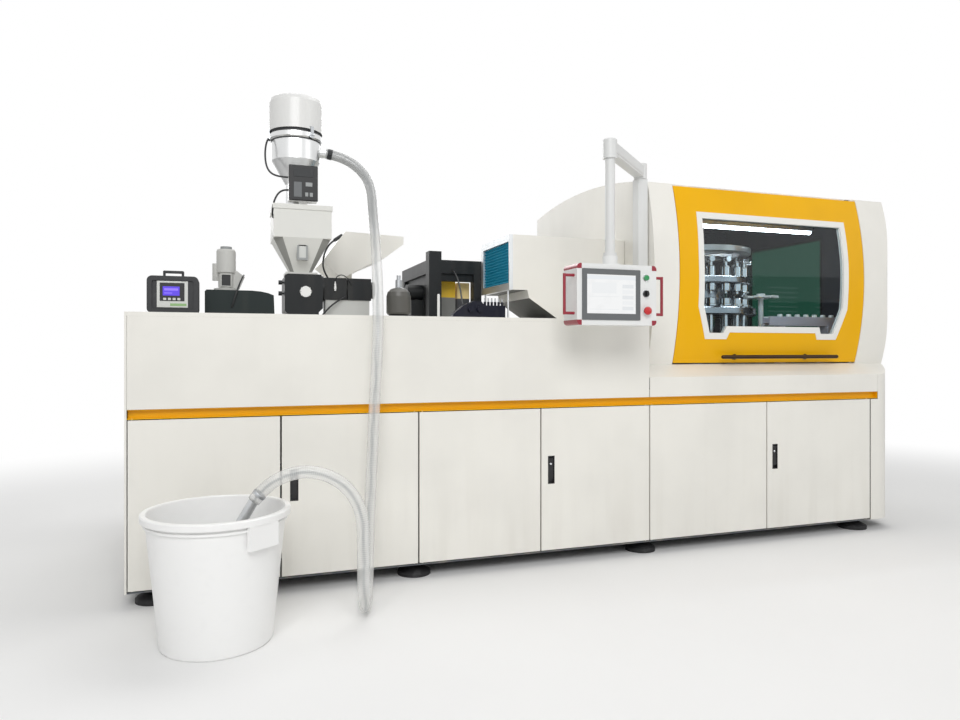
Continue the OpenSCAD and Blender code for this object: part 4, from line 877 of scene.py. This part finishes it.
@dataclass
class Studio:
    """Camera at the photograph's viewpoint, pale floor and soft light."""

    eye: Point = (-1.713, -3.7485, 1.08)
    yaw: float = -19.2
    lens: float = 27.0
    sensor: float = 36.0
    reach: float = 100.0
    horizon: float = -10 / 960
    floor_size: float = 40.0
    fade_start: float = 3.4
    fade_end: float = 6.5
    soft_sky: float = 0.4
    aim: Point = (0.2, 0.1, 1.0)
    lamps: Sequence[tuple[str, Point, Pair, float]] = (
        ("key", (-2.4, -7.0, 5.4), (5.0, 3.5), 320.0),
        ("fill", (5.6, -5.2, 3.6), (3.5, 3.0), 30.0),
        ("top", (0.4, 0.6, 6.4), (6.0, 3.0), 130.0),
        ("rear", (0.0, 7.0, 4.2), (6.0, 3.0), 150.0))

    def build(self) -> None:
        """Set camera, floor, world and lamps."""
        self._camera()
        self._floor()
        self._world()
        for lamp in self.lamps:
            self._lamp(*lamp)
        bpy.context.scene.view_settings.view_transform = "Standard"

    def _camera(self) -> None:
        """Set the camera."""
        data = bpy.data.cameras.new("photo_camera")
        data.sensor_width = self.sensor
        data.lens = self.lens
        data.shift_y = self.horizon
        data.clip_end = self.reach
        camera = add_object("photo_camera", data)
        camera.location = self.eye
        camera.rotation_euler = (math.radians(90.0), 0.0, math.radians(self.yaw))
        bpy.context.scene.camera = camera

    def _floor(self) -> None:
        """Lay a pale floor that fades to the white background."""
        half = self.floor_size / 2
        mesh = bpy.data.meshes.new("studio_floor")
        corners = [(-half, -half, 0), (half, -half, 0), (half, half, 0), (-half, half, 0)]
        mesh.from_pydata(corners, [], [(0, 1, 2, 3)])
        floor = add_object("studio_floor", mesh)
        shader = Shader(bpy.data.materials.new("studio_floor"))
        spot = shader.coords((1.0, 1.15, 1.0))
        away = shader.node("ShaderNodeVectorMath", {"operation": "LENGTH"}, {0: spot}, "Value")
        fade = away.spread(self.fade_start, self.fade_end)
        mottle = shader.noise(shader.coords(), 1.5, 3)
        ground = shader.node("ShaderNodeBsdfDiffuse", inputs={
            "Color": shader.mix((0.86, 0.86, 0.855), (0.89, 0.89, 0.885), mottle)})
        white = shader.node("ShaderNodeEmission", inputs={"Color": (1.0, 1.0, 1.0), "Strength": 1.0})
        seen = shader.node("ShaderNodeLightPath", output="Is Camera Ray")
        mesh.materials.append(shader.end(shader.node("ShaderNodeMixShader", inputs={
            0: fade * seen, 1: ground, 2: white})))

    def _world(self) -> None:
        """Give a white background to the eye and softer light to the rest."""
        world = bpy.data.worlds.new("studio_world")
        shader = Shader(world)
        eye, shiny, through = (shader.node("ShaderNodeLightPath", output=f"Is {kind} Ray")
                               for kind in ("Camera", "Glossy", "Transmission"))
        level = shader.node("ShaderNodeMapRange", inputs={0: eye + shiny + through, 3: self.soft_sky, 4: 1.0})
        sky = shader.node("ShaderNodeBackground", inputs={"Color": (1.0, 1.0, 1.0), "Strength": level})
        shader.end(sky, "ShaderNodeOutputWorld")
        bpy.context.scene.world = world

    def _lamp(self, name: str, spot: Point, size: Pair, watts: float) -> None:
        """Hang one soft box aimed at the machine.

        Args:
            name: the lamp's name.
            spot: where it hangs in the row frame.
            size: its width and height in metres.
            watts: its power.
        """
        data = bpy.data.lights.new(name, "AREA")
        data.shape = "RECTANGLE"
        data.size, data.size_y = size
        data.energy = watts
        lamp = add_object(name, data)
        lamp.location = spot
        aim = Vector(self.aim) - Vector(spot)
        lamp.rotation_euler = aim.to_track_quat("-Z", "Y").to_euler()


CABLE_SIDES = 12
CABLE_STEPS = 5
CABLE_SIDE = Vector((0.3, 1, 0.2)).normalized()

CABLES: dict[str, tuple[float, Sequence[Point]]] = {
    "head_cable": (9.0, ((600, 470, 2144), (590, 452, 2130), (581, 440, 2085), (580, 428, 2030),
                         (588, 412, 1980), (610, 396, 1950), (645, 384, 1938), (687, 376, 1936))),
    "hopper_cable": (9.0, ((687, 372, 1872), (664, 368, 1870), (640, 362, 1854), (622, 356, 1820),
                           (612, 352, 1780), (610, 356, 1750), (616, 376, 1732))),
    "barrel_cable": (9.0, ((985, 440, 1358), (973, 433, 1352), (957, 427, 1343), (934, 420, 1329),
                           (904, 413, 1307), (878, 408, 1280), (860, 406, 1258), (848, 405, 1246))),
    "probe_wire": (5.0, ((926, 431.2, 1430), (927, 430, 1444), (936, 427, 1460), (955, 424, 1468),
                         (978, 424, 1460), (996, 427, 1442), (1008, 432, 1424), (1013, 440, 1410))),
    "drive_cable": (8.0, ((478, 326, 1438), (474, 300, 1432), (466, 270, 1412), (456, 250, 1386),
                          (446, 240, 1356), (436, 239, 1322), (428, 241, 1296), (424, 250, 1280))),
    "pump_cable": (9.0, ((1684, 849, 1558), (1683, 828, 1555), (1678, 775, 1532), (1668, 700, 1498),
                         (1653, 620, 1458), (1636, 540, 1412), (1620, 470, 1366), (1610, 425, 1338),
                         (1606, 402, 1322))),
    "level_probe_cable": (10.0, ((964, 751, 1690), (953, 747, 1682), (937, 741, 1667), (921, 736, 1643),
                                 (908, 733, 1612), (901, 731, 1578), (899, 728, 1546), (905, 722, 1516),
                                 (922, 720, 1482), (946, 728, 1446), (975, 752, 1414), (996, 784, 1394),
                                 (1006, 812, 1385), (1011, 830, 1382))),
}


def smooth_route(points: Sequence[Point], steps: int) -> list[Vector]:
    """Run a smooth curve close by given points, from the first to the last.

    Args:
        points: the points in millimetres from the machine's corner.
        steps: how many places each span is cut into.

    Returns:
        The route in the row frame.
    """
    p = [place(*point) for point in points]
    p = [2 * p[0] - p[1]] + p + [2 * p[-1] - p[-2]]
    route = []
    for a, b, c, d in zip(p, p[1:], p[2:], p[3:]):
        for s in range(steps):
            t = s / steps
            route.append(((1 - t) ** 3 * a + (3 * t ** 3 - 6 * t ** 2 + 4) * b
                          + (1 + 3 * t + 3 * t ** 2 - 3 * t ** 3) * c + t ** 3 * d) / 6)
    return route + [p[-2]]


def route_length(route: Sequence[Vector]) -> float:
    """Add up the spans of a route, in metres."""
    return sum((b - a).length for a, b in zip(route, route[1:]))


def sweep(route: Sequence[Vector], diameter: float, sides: int, side: Vector,
          mapped: bool = False) -> bmesh.types.BMesh:
    """Sweep a circle along a route and close its ends.

    Args:
        route: the middle line in the row frame.
        diameter: how thick the sweep is, in millimetres.
        sides: faces round it.
        side: the direction of the first face at the start.
        mapped: whether it gets a UV map that runs round it and, in metres, along it.

    Returns:
        The faces in the row frame.
    """
    shape = bmesh.new()
    layer = shape.loops.layers.uv.new("UVMap") if mapped else None
    rings, runs, run = [], [], 0.0
    for i, point in enumerate(route):
        along = (route[min(i + 1, len(route) - 1)] - route[max(i - 1, 0)]).normalized()
        side = (side - along * side.dot(along)).normalized()
        other = along.cross(side)
        rings.append([shape.verts.new(point + diameter / 2000 * (
            math.cos(2 * math.pi * k / sides) * side + math.sin(2 * math.pi * k / sides) * other))
            for k in range(sides)])
        runs.append(run)
        if i + 1 < len(route):
            run += (route[i + 1] - point).length
    for i, (first, second) in enumerate(zip(rings, rings[1:])):
        for k in range(sides):
            n = (k + 1) % sides
            face = shape.faces.new((first[k], first[n], second[n], second[k]))
            if mapped:
                for loop, (u, v) in zip(face.loops, ((k, i), (k + 1, i), (k + 1, i + 1), (k, i + 1))):
                    loop[layer].uv = (u / sides, runs[v])
    shape.faces.new(list(reversed(rings[0])))
    shape.faces.new(rings[-1])
    return shape


def make_cable(name: str) -> None:
    """Args:
        name: the cable's name in the list of cables.
    """
    diameter, points = CABLES[name]
    route = smooth_route(points, CABLE_STEPS)
    shape = sweep(route, diameter, CABLE_SIDES, CABLE_SIDE)
    piece = make_piece(name, shape, Finishes.CABLE, MACHINE, smooth=True)
    route_length(route)


@dataclass
class SuctionLine:
    """Clear suction hose from the loader to the lance in the raw-material tub."""

    diameter: float = 50.0
    sides: int = 32
    steps: int = 8
    points: Sequence[Point] = (
        (885, 490, 2100), (970, 483, 2085), (1042, 462, 2041), (1090, 431, 1977), (1107, 395, 1900),
        (1101, 336, 1790), (1097, 248, 1645), (1086, 150, 1505), (1069, 38, 1374), (1054, -54, 1230),
        (1042, -96, 1080), (1030, -104, 910), (1020, -105, 690), (1010, -105, 470), (1000, -105, 240),
        (993, -134, 129), (975, -214, 47), (950, -322, 17), (925, -431, 47), (907, -511, 129),
        (900, -540, 240), (900, -540, 323), (900, -540, 406), (885, -530, 484), (843, -520, 552),
        (778, -510, 599), (701, -500, 620), (622, -490, 611), (551, -480, 574), (499, -470, 513))

    def build(self) -> None:
        """Make the hose and its clamps, dress the lance and hide the CAD hose."""
        route = smooth_route(self.points, self.steps)
        shape = sweep(route, self.diameter, self.sides, Vector((0, 1, 0)), mapped=True)
        hose = make_piece("clear_suction_hose", shape, Finishes.HOSE, MACHINE, smooth=True)
        length = route_length(route)
        clamp_top = self._clamp("spigot_clamp", route, 2, 12.0, Finishes.CASE)
        clamp_low = self._clamp("lance_clamp", route, len(route) - 4, 6.0, Finishes.ZINC)
        lance = dress("suction_lance", Finishes.STEEL)
        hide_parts("suction_hose")
        LOG.info("hose length %.3f m", length)

    def _clamp(self, name: str, route: Sequence[Vector], index: int, half: float, finish: Finish) -> bpy.types.Object:
        """Make a worm-drive clamp round the hose at one point of the route.

        Args:
            name: the clamp's name.
            route: the hose's route in the row frame.
            index: the point of the route that the clamp is centred on.
            half: half of the band's width in millimetres.
            finish: what the clamp is made of.

        Returns:
            The clamp's object.
        """
        shape = bmesh.new()
        along = (route[index + 1] - route[index - 1]).normalized()
        r = self.diameter / 2
        band = [(r - 0.5, -half), (r + 1.4, -half), (r + 1.8, 2 - half), (r + 1.8, half - 2), (r + 1.4, half),
                (r - 0.5, half), (r - 0.5, -half)]
        add_lathe(shape, tuple(corner_mm(route[index])), along, band, 40)
        side = along.cross(UP if abs(along.z) < 0.8 else Vector((1, 0, 0))).normalized()
        across = along.cross(side)
        screw = corner_mm(route[index] + side * (r + 5) / 1000) - across * 11
        worm = [(0, 0), (4.5, 0), (5, 1), (5, 16), (6.5, 16), (6.5, 21), (0, 21)]
        add_lathe(shape, tuple(screw), across, worm, 12)
        return make_piece(name, shape, finish, MACHINE)


@dataclass
class Cabinet:
    """Base cabinet: frame, feet, deck, fascias, doors, locks and the drives behind them.

    The chamber's limits pick the rear covers' inner faces, which take painted shade, and the relays' and drives'
    limits their cases.
    The gusset closes the corner between the left fascia, the sloped ledge and the housing.
    """

    doors: int = 6
    chamber_left: float = 2570.0
    chamber_heights: Pair = (998.0, 2110.0)
    relay_back: float = 470.0
    relay_top: float = 900.0
    drive_back: float = 516.0
    drive_low: float = 760.0
    locks: dict[int, float] = field(default_factory=lambda: {2: 685.75, 4: 1943.25, 6: 3334.5})
    dish_half: float = 18.0
    dish_low: float = 407.0
    dish_top: float = 547.0
    dish_depths: Pair = (0.5, 16.0)
    flange: float = 3.0
    flange_depths: Pair = (-1.6, 0.2)
    key_height: float = 506.0
    key_depth: float = 4.4
    key_profile: Profile = ((0, -1.5), (5.6, -1.5), (5.6, 1.2), (4.6, 2.0), (1.0, 2.0), (0.9, 0.4), (0, 0.4))
    gusset: Sequence[Box] = (((2511.1, 31.2, 930), (2512.9, 119, 1237)),
                             ((2512.5, 117, 1000.8), (2569.4, 119, 1237)))
    rear_y: float = 1600.0
    rear_edges: tuple[float, float, float, float] = (10.0, 1257.5, 2515.0, 4090.0)
    rear_tops: tuple[float, float, float] = (1236.0, 1236.0, 998.0)
    screw_inset: float = 30.0
    screw_low: float = 100.0
    cover_bottom: float = 70.0

    def build(self) -> None:
        """Dress the nodes and add fasteners."""
        dress_all(deck_plate=Finishes.SHEET, front_fascias=Finishes.SHEET, fixed_covers=Finishes.SHEET,
                  right_end_cover=Finishes.SHEET, trim_channel=Finishes.CHANNEL, base_frame=Finishes.FRAME,
                  levelling_feet=Finishes.RUBBER, control_plate=Finishes.ZINC, drive_motors=Finishes.MOTOR)
        low, top = self.chamber_heights
        # painted shade: the rear covers' faces that look into the chamber are coloured navy
        touch_up("fixed_covers", Finishes.CHAMBER_PAINTED_SHADE,
                 lambda p, n: p.x > self.chamber_left and low < p.z < top and n.y < -0.5)
        touch_up("control_plate", Finishes.CASE, lambda p, n: p.y < self.relay_back and p.z < self.relay_top)
        touch_up("control_plate", Finishes.PALE_PLATE,
                 lambda p, n: p.y < self.drive_back and p.z > self.drive_low)
        for number in range(1, self.doors + 1):
            dress(f"cabinet_door_{number}", Finishes.DOOR)
        for number, x in self.locks.items():
            near, far = self.dish_depths
            dish = inside((x - self.dish_half, near, self.dish_low), (x + self.dish_half, far, self.dish_top))
            touch_up(f"cabinet_door_{number}", Finishes.LOCK, dish)
            dress(f"lock_lever_{number}", Finishes.LOCK)
            self._lock_trim(number, x)
        self._rear_screws()
        make_slabs("ledge_gusset", self.gusset, 0.4, Finishes.SHEET)

    def _lock_trim(self, number: int, x: float) -> None:
        """Frame a lock dish with a thin black flange and set its key cylinder.

        Args:
            number: the door's number.
            x: the lock's middle in millimetres from the machine's corner.
        """
        left, right, low, top = x - self.dish_half, x + self.dish_half, self.dish_low, self.dish_top
        rails = ((left, low, left + self.flange, top), (right - self.flange, low, right, top),
                 (left, top - self.flange, right, top), (left, low, right, low + self.flange))
        near, far = self.flange_depths
        make_slabs(f"lock_flange_{number}", [((a, near, b), (c, far, d)) for a, b, c, d in rails], 0.6,
                   Finishes.LOCK, f"door_leaf_{number}")
        make_turned(f"key_cylinder_{number}", (x, self.key_depth, self.key_height), FRONT, self.key_profile,
                    24, Finishes.CHROME, f"lever_{number}")

    def _rear_screws(self) -> None:
        """Fix the rear covers and the left end with screws."""
        points: list[Point] = []
        for left, right, top in zip(self.rear_edges, self.rear_edges[1:], self.rear_tops):
            high = top - self.screw_inset
            for z in (self.screw_low, (top + self.cover_bottom) / 2, high):
                points += [(x, self.rear_y, z) for x in (left + self.screw_inset, right - self.screw_inset)]
            points += [((left + right) / 2, self.rear_y, z) for z in (self.screw_low, high)]
        ScrewField("rear_cover_screws", points, (0, 1, 0)).build()
        side = [(0.0, y, z) for y in (40.0, 800.0, 1560.0) for z in (self.screw_low, 640.0, 1190.0)]
        ScrewField("end_panel_screws", side, (-1, 0, 0)).build()


@dataclass
class MouldingHousing:
    """White housing with the amber safety door, its window and the light inside.

    The limits of walls, strips and roof pick the faces that look into the chamber, which take painted shade.
    """

    left_wall: float = 2600.0
    left_strip: float = 2574.0
    right_wall: float = 4100.0
    right_strip: float = 400.0
    roof_front: float = 193.0
    rear_y: float = 1600.0
    screw_columns: Sequence[float] = (2600.0, 3005.0, 3410.0, 3815.0, 4220.0)
    screw_rows: Sequence[float] = (1030.0, 1310.0, 1600.0, 1880.0)
    diffuser_top: float = 1848.0

    def build(self) -> None:
        """Dress the nodes and add fasteners."""
        dress_all(housing_side=Finishes.SHEET, housing_end=Finishes.SHEET, housing_roof=Finishes.SHEET,
                  end_window=Finishes.GREEN_PANE, safety_door=Finishes.AMBER, window_seal=Finishes.SEAL,
                  window_pane=Finishes.PANE, bar_handle=Finishes.BRONZE, hinge_pins=Finishes.STEEL,
                  work_light=Finishes.ZINC)
        # painted shade: the walls', strips' and roof's faces that look into the chamber are coloured navy
        touch_up("housing_side", Finishes.CHAMBER_PAINTED_SHADE, lambda p, n: (n.x > 0.7 and p.x < self.left_wall)
                 or (n.y > 0.5 and p.x > self.left_strip))
        touch_up("housing_end", Finishes.CHAMBER_PAINTED_SHADE, lambda p, n: (n.x < -0.7 and p.x > self.right_wall)
                 or (n.y > 0.5 and p.y < self.right_strip))
        touch_up("housing_roof", Finishes.CHAMBER_PAINTED_SHADE, lambda p, n: n.z < -0.5 and p.y > self.roof_front)
        touch_up("work_light", Finishes.LAMP, lambda p, n: p.z < self.diffuser_top)
        low, *middle, high = self.screw_rows
        points = [(x, self.rear_y, z) for x in self.screw_columns for z in (low, high)]
        ends = (self.screw_columns[0], self.screw_columns[-1])
        points += [(x, self.rear_y, z) for x in ends for z in middle]
        ScrewField("housing_rear_screws", points, (0, 1, 0)).build()


@dataclass
class MouldTurret:
    """Rotary carousel with its moulds, punches, cam rings, take-off star and outfeed."""

    middle: Pair = (3340.0, 760.0)
    stations: int = 20
    bolt_circle: float = 360.0
    bolt_height: float = 1350.0
    lower_cam: Pair = (1055.0, 1095.0)
    upper_cam: float = 1695.0
    caps_low: float = 1278.5
    caps_right: float = 4120.0
    bearing_front: float = 400.0

    def build(self) -> None:
        """Dress the nodes and add the ring bolts."""
        dress_all(turret_column=Finishes.TURRET, carousel=Finishes.CAROUSEL, lower_moulds=Finishes.CHROME,
                  upper_punches=Finishes.CHROME, takeoff_star=Finishes.WHITE_PLASTIC,
                  outfeed_rail=Finishes.RAIL)
        low, top = self.lower_cam
        touch_up("turret_column", Finishes.STEEL, lambda p, n: low < p.z < top or p.z > self.upper_cam)
        touch_up("outfeed_rail", Finishes.WHITE_PLASTIC,
                 lambda p, n: p.z > self.caps_low and p.x < self.caps_right)
        touch_up("outfeed_rail", Finishes.STEEL, lambda p, n: p.y > self.bearing_front)
        angles = [2 * math.pi * (i + 0.5) / self.stations for i in range(self.stations)]
        points = [(self.middle[0] + self.bolt_circle * math.cos(angle),
                   self.middle[1] + self.bolt_circle * math.sin(angle), self.bolt_height) for angle in angles]
        ScrewField("carousel_bolts", points, (0, 0, 1), 9.0, 8.0, "rotor", "mould_chrome").build()


@dataclass
class OperatorPendant:
    """Swivel pendant with the operator panel, its screen and controls."""

    left: float = 1930.0
    front: float = -310.0
    back: float = -170.0
    bottom: float = 1197.0
    width: float = 424.0
    height: float = 287.0
    control_x: float = 2296.0
    control_z: tuple[float, float, float] = (1425.0, 1349.0, 1267.0)
    collars: Sequence[Pair] = ((13.6, 17.5), (15.6, 19.0), (9.2, 15.0))
    column: Pair = (2534.0, 124.0)
    foot: float = 10.0
    bolt_rows: Pair = (-40.0, 40.0)
    bolt_columns: Pair = (-42.0, 20.0)
    screen_proud: float = 3.0
    screw_inset: float = 40.0

    def build(self) -> None:
        """Dress the nodes, light the screen and add control trim."""
        dress_all(pendant_column=Finishes.ARM, pendant_arm=Finishes.ARM, operator_panel=Finishes.PANEL,
                  panel_guards=Finishes.CRIMSON, touch_screen=Finishes.BEZEL, start_button=Finishes.GREEN_CAP,
                  selector_switch=Finishes.BLACK_CAP, stop_button=Finishes.RED_CAP)
        touch_up("touch_screen", self._screen(),
                 lambda p, n: n.y < -0.9 and p.y > self.front - self.screen_proud)
        self._collars()
        x, y = self.column
        feet = [(x + dx, y + dy, DECK + self.foot) for dy in self.bolt_rows for dx in self.bolt_columns]
        ScrewField("column_bolts", feet, (0, 0, 1), 6.0, 5.0).build()
        corners = [(px, self.back, pz)
                   for px in (self.left + self.screw_inset, self.left + self.width - self.screw_inset)
                   for pz in (self.bottom + self.screw_inset, self.bottom + self.height - self.screw_inset)]
        ScrewField("panel_back_screws", corners, (0, 1, 0), 4.5, 2.5, "panel").build()

    @staticmethod
    def _screen() -> PanelImage:
        """Lay out a plain screen of unlabelled fields.

        Returns:
            The screen's finish.
        """
        pale, blue, line = srgb(240, 242, 243), srgb(235, 239, 243), srgb(230, 233, 235)
        fields = [(1980.4, 1411.0, 2239.6, 1429.0, blue)]
        for row in range(5):
            z = 1268.0 + row * 26
            fields.append((2168.0, z, 2228.0, z + 17, pale if row % 2 else line))
        fields += [(1994.0, z, 2150.0, z + 1.6, line) for z in (1270.0, 1330.0)]
        fields.append((2006.0, 1346.0, 2136.0, 1396.0, pale))
        return PanelImage("screen_image", srgb(246, 247, 247), tuple(fields), 0.92)

    def _collars(self) -> None:
        """Set chrome collars round the controls, clear of their travel."""
        shape = bmesh.new()
        for z, (bore, rim) in zip(self.control_z, self.collars):
            profile = [(bore, 0), (rim, 0), (rim, 1.6), (rim - 1.2, 3.0), (bore + 0.8, 3.0), (bore, 2.2),
                       (bore, 0)]
            add_lathe(shape, (self.control_x, self.front, z), FRONT, profile, 36)
        make_piece("control_collars", shape, Finishes.CHROME, "panel")


@dataclass
class FeedLine:
    """Hopper loader, hopper, feed block and extruder barrel.

    Pairs of heights bound the hopper's chamfers, its sight and the bands of the loader's head.
    """

    loader: Pair = (735.0, 490.0)
    clamp_radius: float = 132.5
    steel_band: Pair = (2142.0, 2176.0)
    gasket: Pair = (2174.0, 2185.0)
    rim_top: float = 2143.0
    control: Point = (687.0, 326.0, 1814.0)
    face_back: float = 330.2
    disc: Pair = (773.0, DECK + 132)
    disc_radius: float = 27.5
    disc_back: float = 381.5
    knob_right: float = 671.5
    base_left: float = 877.0
    base_top: float = DECK + 97
    chamfers: Pair = (1473.0, 1636.0)
    sight_x: float = 757.0
    sight_depths: Pair = (372.0, 384.0)
    sight_halves: Pair = (27.0, 17.5)
    sight_frame: Pair = (1525.0, 1620.0)
    sight_plate: Pair = (1536.0, 1606.0)
    probe: Point = (926, 431.2, 1384)
    probe_profile: Profile = ((0, 0), (5, 0), (5, 8), (6.5, 9), (6.5, 20), (5, 22), (5, 36), (3, 38), (3, 48),
                              (0, 48))

    def build(self) -> None:
        """Dress the nodes and add the small fittings."""
        dress_all(feed_block=Finishes.MACHINE_BLACK, extruder_barrel=Finishes.MACHINE_BLACK,
                  hopper=Finishes.HOPPER, loader_receiver=Finishes.RECEIVER, loader_head=Finishes.HEAD,
                  loader_control=Finishes.HEAD)
        touch_up("feed_block", Finishes.WHITE_PLASTIC, lambda p, n: p.y < self.disc_back
                 and math.hypot(p.x - self.disc[0], p.z - self.disc[1]) < self.disc_radius)
        touch_up("feed_block", Finishes.CASE, lambda p, n: p.x < self.knob_right)
        touch_up("extruder_barrel", Finishes.PALE_BASE,
                 lambda p, n: p.z < self.base_top and p.x > self.base_left)
        self._hopper()
        self._loader_head()
        self._loader_control()
        make_turned("barrel_probe", self.probe, UP, self.probe_profile, 20, Finishes.WHITE_PLASTIC)
        for name in ("head_cable", "hopper_cable", "barrel_cable", "probe_wire"):
            make_cable(name)

    def _hopper(self) -> None:
        """Paint shade on the hopper's chamfers, and colour its sight frame and its sight plate."""
        near, far = self.sight_depths
        wide, narrow = self.sight_halves
        # painted shade: the hopper's diagonal chamfers are coloured mid-grey
        touch_up("hopper", Finishes.HOPPER_CHAMFER_PAINTED_SHADE, lambda p, n: self.chamfers[0] < p.z < self.chamfers[1]
                 and abs(abs(n.x) - abs(n.y)) < 0.2 and abs(n.x) > 0.3)
        touch_up("hopper", Finishes.KEY_GREY, lambda p, n: p.y < far and abs(p.x - self.sight_x) < wide
                 and self.sight_frame[0] < p.z < self.sight_frame[1])
        touch_up("hopper", Finishes.PALE_PLATE, lambda p, n: near < p.y < far and n.y < -0.8
                 and abs(p.x - self.sight_x) < narrow and self.sight_plate[0] < p.z < self.sight_plate[1])

    def _loader_head(self) -> None:
        """Dress the head's steel band, its dark gasket and its clamps."""
        x, y = self.loader
        touch_up("loader_head", Finishes.RECEIVER, lambda p, n: self.steel_band[0] < p.z < self.steel_band[1])
        touch_up("loader_head", Finishes.CASE,
                 lambda p, n: self.gasket[0] < p.z < self.gasket[1] or p.z < self.rim_top)
        touch_up("loader_head", Finishes.ZINC, lambda p, n: math.hypot(p.x - x, p.y - y) > self.clamp_radius)

    def _loader_control(self) -> None:
        """Give the control box's black face a display and bare keys."""
        x, y, z = self.control
        touch_up("loader_control", Finishes.FACE, lambda p, n: p.y < self.face_back and n.y < 0.5)

        def on_face(left: float, low: float, right: float, top: float, proud: float) -> Box:
            """Place a box on the face, from the control's lower left corner."""
            return (x + left, y - proud, z + low), (x + right, y + 0.5, z + top)

        make_slabs("loader_display", [on_face(22, 118, 118, 158, 1.4)], 1.2, Finishes.CASE)
        make_slabs("loader_keys", [on_face(78, 22, 93, 42, 2.0), on_face(100, 22, 115, 42, 2.0),
                                   on_face(80, 72, 113, 92, 2.0)], 1.5, Finishes.KEY_GREY)
        make_slabs("loader_switch_plate", [on_face(24, 18, 62, 92, 1.2)], 1.2, Finishes.BEZEL)


@dataclass
class DeckEquipment:
    """Instrument, lubricated drive, accumulator, gantry, valves, side hopper and filter hood."""

    lubricator_window: Box = ((376.0, 300.5, DECK + 142), (420.0, 305.0, DECK + 198))
    lubricator_cap: float = DECK + 319
    bottle_neck: float = DECK + 157
    bottle_foot: float = DECK + 21
    pumps: Sequence[Box] = (((1639.0, 965.0, DECK - 1), (1739.0, 1095.0, DECK + 270)),
                            ((1751.0, 965.0, DECK - 1), (1831.0, 1065.0, DECK + 262)))
    stud_left: float = 1722.0
    stud_low: float = DECK + 102.5
    slope_right: float = 2170.0
    slope_top: float = DECK + 172
    pleat_depths: Pair = (360.6, 773.4)
    pleat_heights: Pair = (DECK + 208.6, DECK + 433.4)
    probe: Point = (1010, 751, 1722.5)
    probe_axis: Point = (-48, 0, -34)
    probe_profile: Profile = ((0, 0), (8, 0), (10, 3), (10, 52), (7, 58), (0, 58))
    post: Point = (1511, 550, DECK)
    post_profile: Profile = ((0, 0), (16, 0), (16, 5), (8, 7), (7.5, 9), (7.5, 145), (5, 151), (0, 151))

    def build(self) -> None:
        """Dress the nodes and add their small fittings."""
        self._instrument()
        dress_all(drive_cover=Finishes.COVER_GREEN, lubricator=Finishes.LUBRICATOR)
        self._lubricator()
        dress_all(side_hopper=Finishes.SHEET, accumulator=Finishes.BOTTLE, gantry=Finishes.MACHINE_BLACK,
                  valve_block=Finishes.VALVES, filter_hood=Finishes.SHEET, air_filter=Finishes.PLEATS)
        touch_up("accumulator", Finishes.ZINC, lambda p, n: p.z > self.bottle_neck)
        touch_up("accumulator", Finishes.MACHINE_BLACK, lambda p, n: p.z < self.bottle_foot)
        for pump, finish in zip(self.pumps, (Finishes.YELLOW, Finishes.PALE_YELLOW)):
            touch_up("gantry", finish, inside(*pump))
        touch_up("valve_block", Finishes.ZINC, lambda p, n: p.z > self.stud_low and p.x > self.stud_left)
        # painted shade: the hood's downward-facing slope is coloured dark grey
        touch_up("filter_hood", Finishes.HOOD_SLOPE_PAINTED_SHADE,
                 lambda p, n: n.z < -0.3 and p.z < self.slope_top and p.x < self.slope_right)
        touch_up("air_filter", Finishes.SILVER, self._filter_frame)
        make_cable("pump_cable")
        make_turned("level_probe", self.probe, Vector(self.probe_axis).normalized(), self.probe_profile, 24,
                    Finishes.CASE)
        make_cable("level_probe_cable")
        make_turned("white_post", self.post, UP, self.post_profile, 28, Finishes.WHITE_PLASTIC)

    def _filter_frame(self, middle: Vector, _normal: Vector) -> bool:
        """Tell the silver frame from the teal pleats."""
        (near, far), (low, high) = self.pleat_depths, self.pleat_heights
        return not (low < middle.z < high and near < middle.y < far)

    @staticmethod
    def _instrument() -> None:
        """Dress the instrument and give it a display plate with a lit panel and bare keys."""
        dress("instrument_case", Finishes.CASE)
        blue = PanelImage("instrument_image", srgb(92, 62, 232), (
            (144, 1340, 200, 1350, srgb(150, 120, 255)), (144, 1326, 176, 1332, srgb(130, 104, 248))), 1.0)
        keys = [((140 + i * 19, 111.4, 1298), (152 + i * 19, 113.0, 1308)) for i in range(4)]
        make_slabs("instrument_plate", [((114, 113.0, 1266), (240, 116.5, 1382))], 1.5, Finishes.PALE_PLATE)
        make_slabs("instrument_display_frame", [((126, 112.2, 1294), (226, 113.5, 1374))], 1.0, Finishes.FACE)
        make_slabs("instrument_display", [((138, 111.6, 1318), (206, 112.6, 1358))], 0.6, blue)
        make_slabs("instrument_keys", keys, 1.2, Finishes.PALE_PLATE)
        make_slabs("instrument_strip", [((168, 112.2, 1273), (234, 113.4, 1284))], 0.8, Finishes.KEY_GREEN)

    def _lubricator(self) -> None:
        """Colour the lubricator's black sight window and its cap, and run its cable."""
        touch_up("lubricator", Finishes.FACE, inside(*self.lubricator_window))
        touch_up("lubricator", Finishes.KEY_GREY, lambda p, n: p.z > self.lubricator_cap)
        make_cable("drive_cable")


@dataclass
class MaterialTub:
    """White plastic tub on the floor in front of the cabinet."""

    def build(self) -> None:
        """Dress the tub."""
        dress("tub", Finishes.TUB)


def main() -> None:
    """Build every sub-assembly in order."""
    logging.basicConfig(level=logging.INFO, format="%(name)s %(message)s")
    assemblies = [Studio(), SuctionLine(), Cabinet(), MouldingHousing(), MouldTurret(), OperatorPendant(),
                  FeedLine(), DeckEquipment(), MaterialTub()]
    for assembly in assemblies:
        LOG.info("building %s", type(assembly).__name__)
        assembly.build()


if __name__ == "__main__":
    main()
